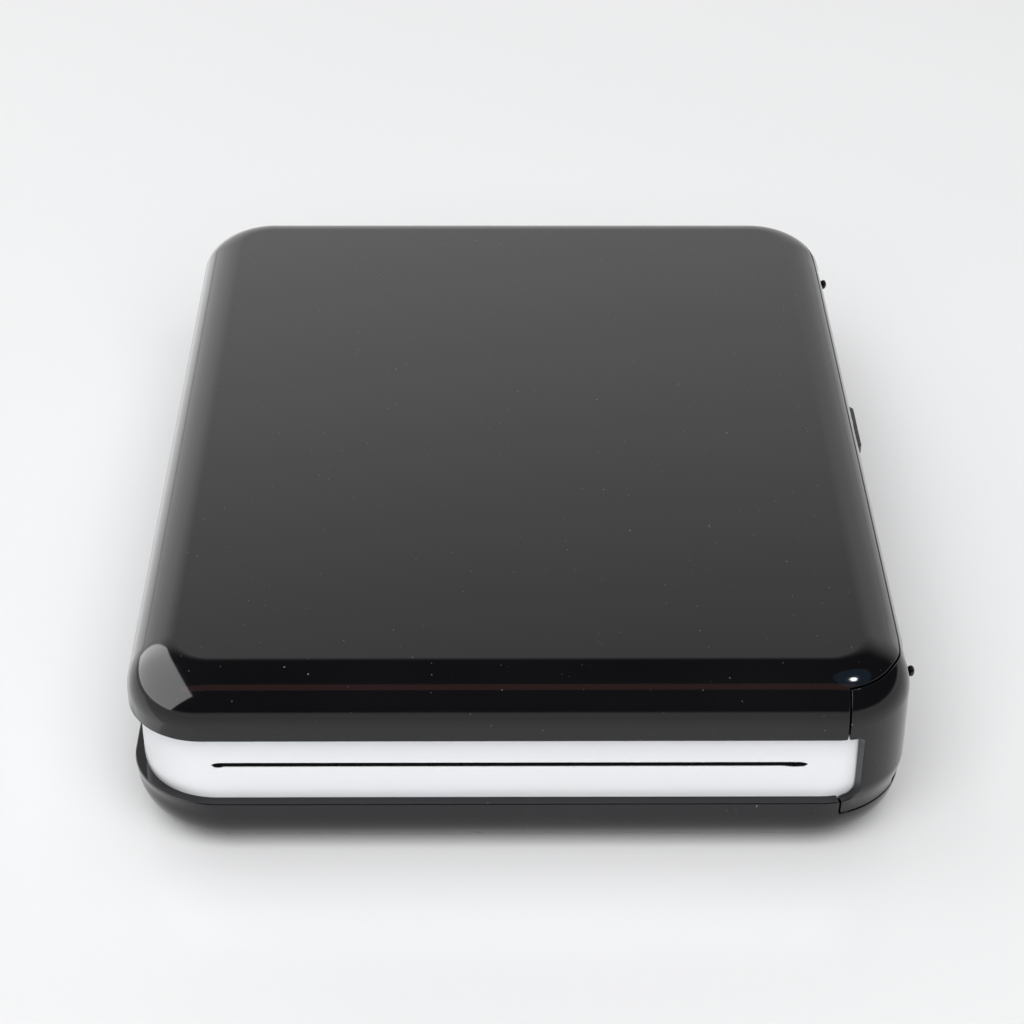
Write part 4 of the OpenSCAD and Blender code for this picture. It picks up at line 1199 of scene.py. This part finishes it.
# ---- small outer pieces
def finger_bar():
    ramp = 1.1
    x0 = HALF_W + 0.03
    x1 = HALF_W + PROUD
    h = BAR_L / 2
    outline = [(x0, BAR_Y - h), (x1, BAR_Y - h + ramp), (x1, BAR_Y + h - ramp), (x0, BAR_Y + h)]
    stem_y = BAR_Y + STEM_OFF
    tail = BAR_Y + 4.25

    def block(out0, out1, y0, y1, half, edge=0.1):
        """A block from out0 to out1 past the case's side, half high above and below the bar's middle."""
        return soft_box(HALF_W + out0, HALF_W + out1, y0, y1, BAR_Z - half, BAR_Z + half, edge)

    return [
        soft_prism(outline, BAR_Z - BAR_H / 2, BAR_Z + BAR_H / 2, 0.14),
        block(-WALL - 0.1, 0.3, stem_y - 1.2, stem_y + 1.2, 0.45, 0.05),
        block(-2.1, -DOOR_T - 0.1, BAR_Y - 0.05, tail, 1.2),
        block(-2.8, -2.2, BAR_Y - 5.05, tail, 1),
        block(-2.8, -2, BAR_Y + 0.5, tail, 1),
    ]


publish("bar_grip", finger_bar(), TRIM, "finger_bar", ("door_bar",))


def pips(places, z, x0, r):
    """Small pins with a domed head and a groove under it."""
    tip = HALF_W + PROUD - x0
    dome = 0.62 * r
    neck = tip - dome
    head = [(0, 0), (r * 0.6, 0), (r * 0.86, 0.05), (r * 0.86, neck - dome), (r * 0.78, neck - 0.5 * r),
            (r * 0.86, neck - 0.4 * r), (r * 0.97, neck - 0.25 * r)]
    for k in range(8):
        a = math.pi / 2 * k / 8
        head.append((r * math.cos(a), neck + dome * math.sin(a)))
    head.append((0, tip))
    return [lathe(head, (x0, y, z), (1, 0, 0), 32) for y in places]


UPPER_PIPS = pips((-54.0, 52.0), 21.2, HALF_W - 0.5, 0.75)
LOWER_PIPS = pips((-52.0, 52.0), 6.0, HALF_W - 1.0, 0.6)
publish("upper_pips", UPPER_PIPS, GLOSS, "door", ("door_pips",))
publish("lower_pips", LOWER_PIPS, GLOSS, HOUSING, ("case_pips",))


def power_button():
    face_y = HALF_D - BAND_IN
    flange = ((0.62, -0.6), (0.7, -0.52), (0.7, -0.18), (0.62, -0.1), (0.08, -0.1), (0.0, -0.02))
    cap = [(0, -0.6 - BAND_T), (BUTTON_R * 0.8, -0.6 - BAND_T)]
    cap += [(BUTTON_R + out, h - BAND_T) for out, h in flange]
    cap.append((BUTTON_R, 0.0))
    for k in range(1, 9):
        a = math.pi / 2 * k / 8
        cap.append((BUTTON_R - 0.3 + 0.3 * math.cos(a), 0.1 + 0.3 * math.sin(a)))
    for k in range(1, 9):
        t = k / 8
        cap.append(((BUTTON_R - 0.3) * (1 - t), 0.4 - 0.16 * (1 - (1 - t) ** 2)))
    stem = pin_outline(1.0, -BAND_T - 1.4, -BAND_T - 0.5, 0.1, 0.05)
    return [lathe(cap, (BUTTON_X, face_y, BUTTON_Z), (0, 1, 0), 56),
            lathe(stem, (BUTTON_X, face_y, BUTTON_Z), (0, 1, 0), 32)]


publish("power_cap", power_button(), BUTTON, "power_button", ("power_button",))


# ---- floor, light and camera
DARK = 0.03


def stage_floor():
    mesh = bpy.data.meshes.new("floor")
    s = 3.0
    mesh.from_pydata([(-s, -s, 0), (s, -s, 0), (s, s, 0), (-s, s, 0)], [], [(0, 1, 2, 3)])
    n = Nodes("floor")
    cloud = n.cloud(3.0, 3.0)
    n.set("Base Color", n.mix(cloud, (0.84, 0.845, 0.855), (0.86, 0.862, 0.87)))
    n.set("Roughness", 0.2)
    n.set("Specular IOR Level", 0.3)
    mesh.materials.append(n.mat)
    floor = placed("floor", mesh)
    return floor


def world():
    """A pale wall all round, high behind and brighter on its left, under a dark ceiling."""
    w = bpy.data.worlds.new("studio")
    w.use_nodes = True
    w.node_tree.nodes.clear()
    n = Tree(w.node_tree)
    parts = n.make("ShaderNodeSeparateXYZ")
    n.link(n.make("ShaderNodeTexCoord").outputs["Generated"], parts.inputs["Vector"])
    rise = n.make("ShaderNodeValToRGB")
    stops = ((0.0, 1.0), (0.45, 1.0), (0.515, 0.86), (0.60, 0.55), (0.68, 0.16), (0.76, 0.0))
    while len(rise.color_ramp.elements) < len(stops):
        rise.color_ramp.elements.new(0.5)
    for e, (place, level) in zip(rise.color_ramp.elements, stops):
        e.position = place
        e.color = (level, level, level, 1.0)
    n.link(parts.outputs["Z"], rise.inputs["Fac"])
    sides = n.ramp(parts.outputs["X"], -0.75, 0.75, 1.4, 0.7, True)
    ahead = n.ramp(parts.outputs["Y"], 0.4, 0.75, 0.0, 1.0, True)
    wall = n.math("MULTIPLY", n.math("MULTIPLY", rise.outputs["Color"], sides), ahead)
    low = n.ramp(parts.outputs["Z"], 0.04, 0.15, 0.7, DARK, True)
    back = n.make("ShaderNodeBackground")
    n.link(n.math("MAXIMUM", wall, low), back.inputs["Color"])
    out = n.make("ShaderNodeOutputWorld")
    n.link(back.outputs["Background"], out.inputs["Surface"])
    bpy.context.scene.world = w


def lamp(name, azimuth, elevation, away, size, level, seen, shape="RECTANGLE", tint=(1, 1, 1)):
    """An area light aimed at the object. level is its radiance; it lights gloss or matt rays alone."""
    data = bpy.data.lights.new(name, "AREA")
    data.shape = shape
    data.size, data.size_y = size
    area = size[0] * size[1] * (math.pi / 4 if shape == "ELLIPSE" else 1.0)
    data.energy = level * math.pi * area
    data.color = tint
    obj = placed(name, data)
    a = math.radians(azimuth)
    e = math.radians(elevation)
    way = Vector((math.sin(a) * math.cos(e), math.cos(a) * math.cos(e), math.sin(e)))
    obj.location = way * away
    obj.rotation_mode = "QUATERNION"
    obj.rotation_quaternion = (-way).to_track_quat("-Z", "Y")
    obj.visible_diffuse = seen != "gloss"
    obj.visible_glossy = seen != "matt"
    return obj


def camera():
    """Where the photograph was taken from, fitted to the outline, the seams and the floor's mirror image."""
    elevation = math.radians(33.465)
    yaw = math.radians(0.583)
    roll = math.radians(0.265)
    distance = 407.69
    focal_px = 2578.7
    picture_px = 1024
    sensor = 36.0
    aim = Vector((-0.258 + MID_X, 15.911, 0.0))
    fwd = Vector((math.sin(yaw) * math.cos(elevation), math.cos(yaw) * math.cos(elevation),
                  -math.sin(elevation)))
    right = Vector((math.cos(yaw), -math.sin(yaw), 0))
    up = right.cross(fwd)
    r2 = right * math.cos(roll) + up * math.sin(roll)
    u2 = up * math.cos(roll) - right * math.sin(roll)
    data = bpy.data.cameras.new("camera")
    data.sensor_width = sensor
    data.lens = focal_px / picture_px * sensor
    data.clip_start = 0.01
    data.clip_end = 50.0
    cam = placed("camera", data)
    turn = Matrix((r2, u2, -fwd)).transposed().to_4x4()
    cam.matrix_world = Matrix.Translation((aim - fwd * distance) * MM) @ turn
    bpy.context.scene.camera = cam


kept_off = bpy.data.collections.new("kept_off")
kept_off.objects.link(stage_floor())
kept_off.collection_objects[0].light_linking.link_state = "EXCLUDE"
world()
softbox = lamp("left_softbox", -92, 33, 0.8, (1.56, 0.8), 3.5, "gloss")
softbox.light_linking.receiver_collection = kept_off
lamp("right_lamp", 110, 59, 1.0, (0.12, 0.12), 26.0, "gloss", "ELLIPSE")
for wide, level in ((0.66, 0.3), (0.5, 0.6), (0.38, 1.2), (0.26, 2.4)):
    lamp("right_glow", 106, 60, 1.05, (wide, wide), level, "gloss", "ELLIPSE", (0.3, 0.6, 1.0))
lamp("warm_strip", 178, 60.5, 1.0, (1.4, 0.22), 0.4, "gloss", "RECTANGLE", (1.0, 0.42, 0.3))
table = lamp("left_table", -90, 0, 0.46, (0.46, 0.8), 0.5, "gloss")
table.location = (-0.47, 0.15, 0.0005)
table.rotation_quaternion = Vector((0, 0, 1)).to_track_quat("-Z", "Y")
table.data.size, table.data.size_y = 0.8, 0.46
table.visible_camera = False
lamp("left_key", -80, 45, 1.2, (0.9, 0.9), 0.55, "matt")
lamp("top_fill", 0, 88, 1.3, (1.6, 1.6), 0.62, "matt")
lamp("front_key", 182, 48, 2.0, (2.7, 2.0), 3.1, "matt")
camera()
bpy.context.scene.view_settings.view_transform = "Standard"
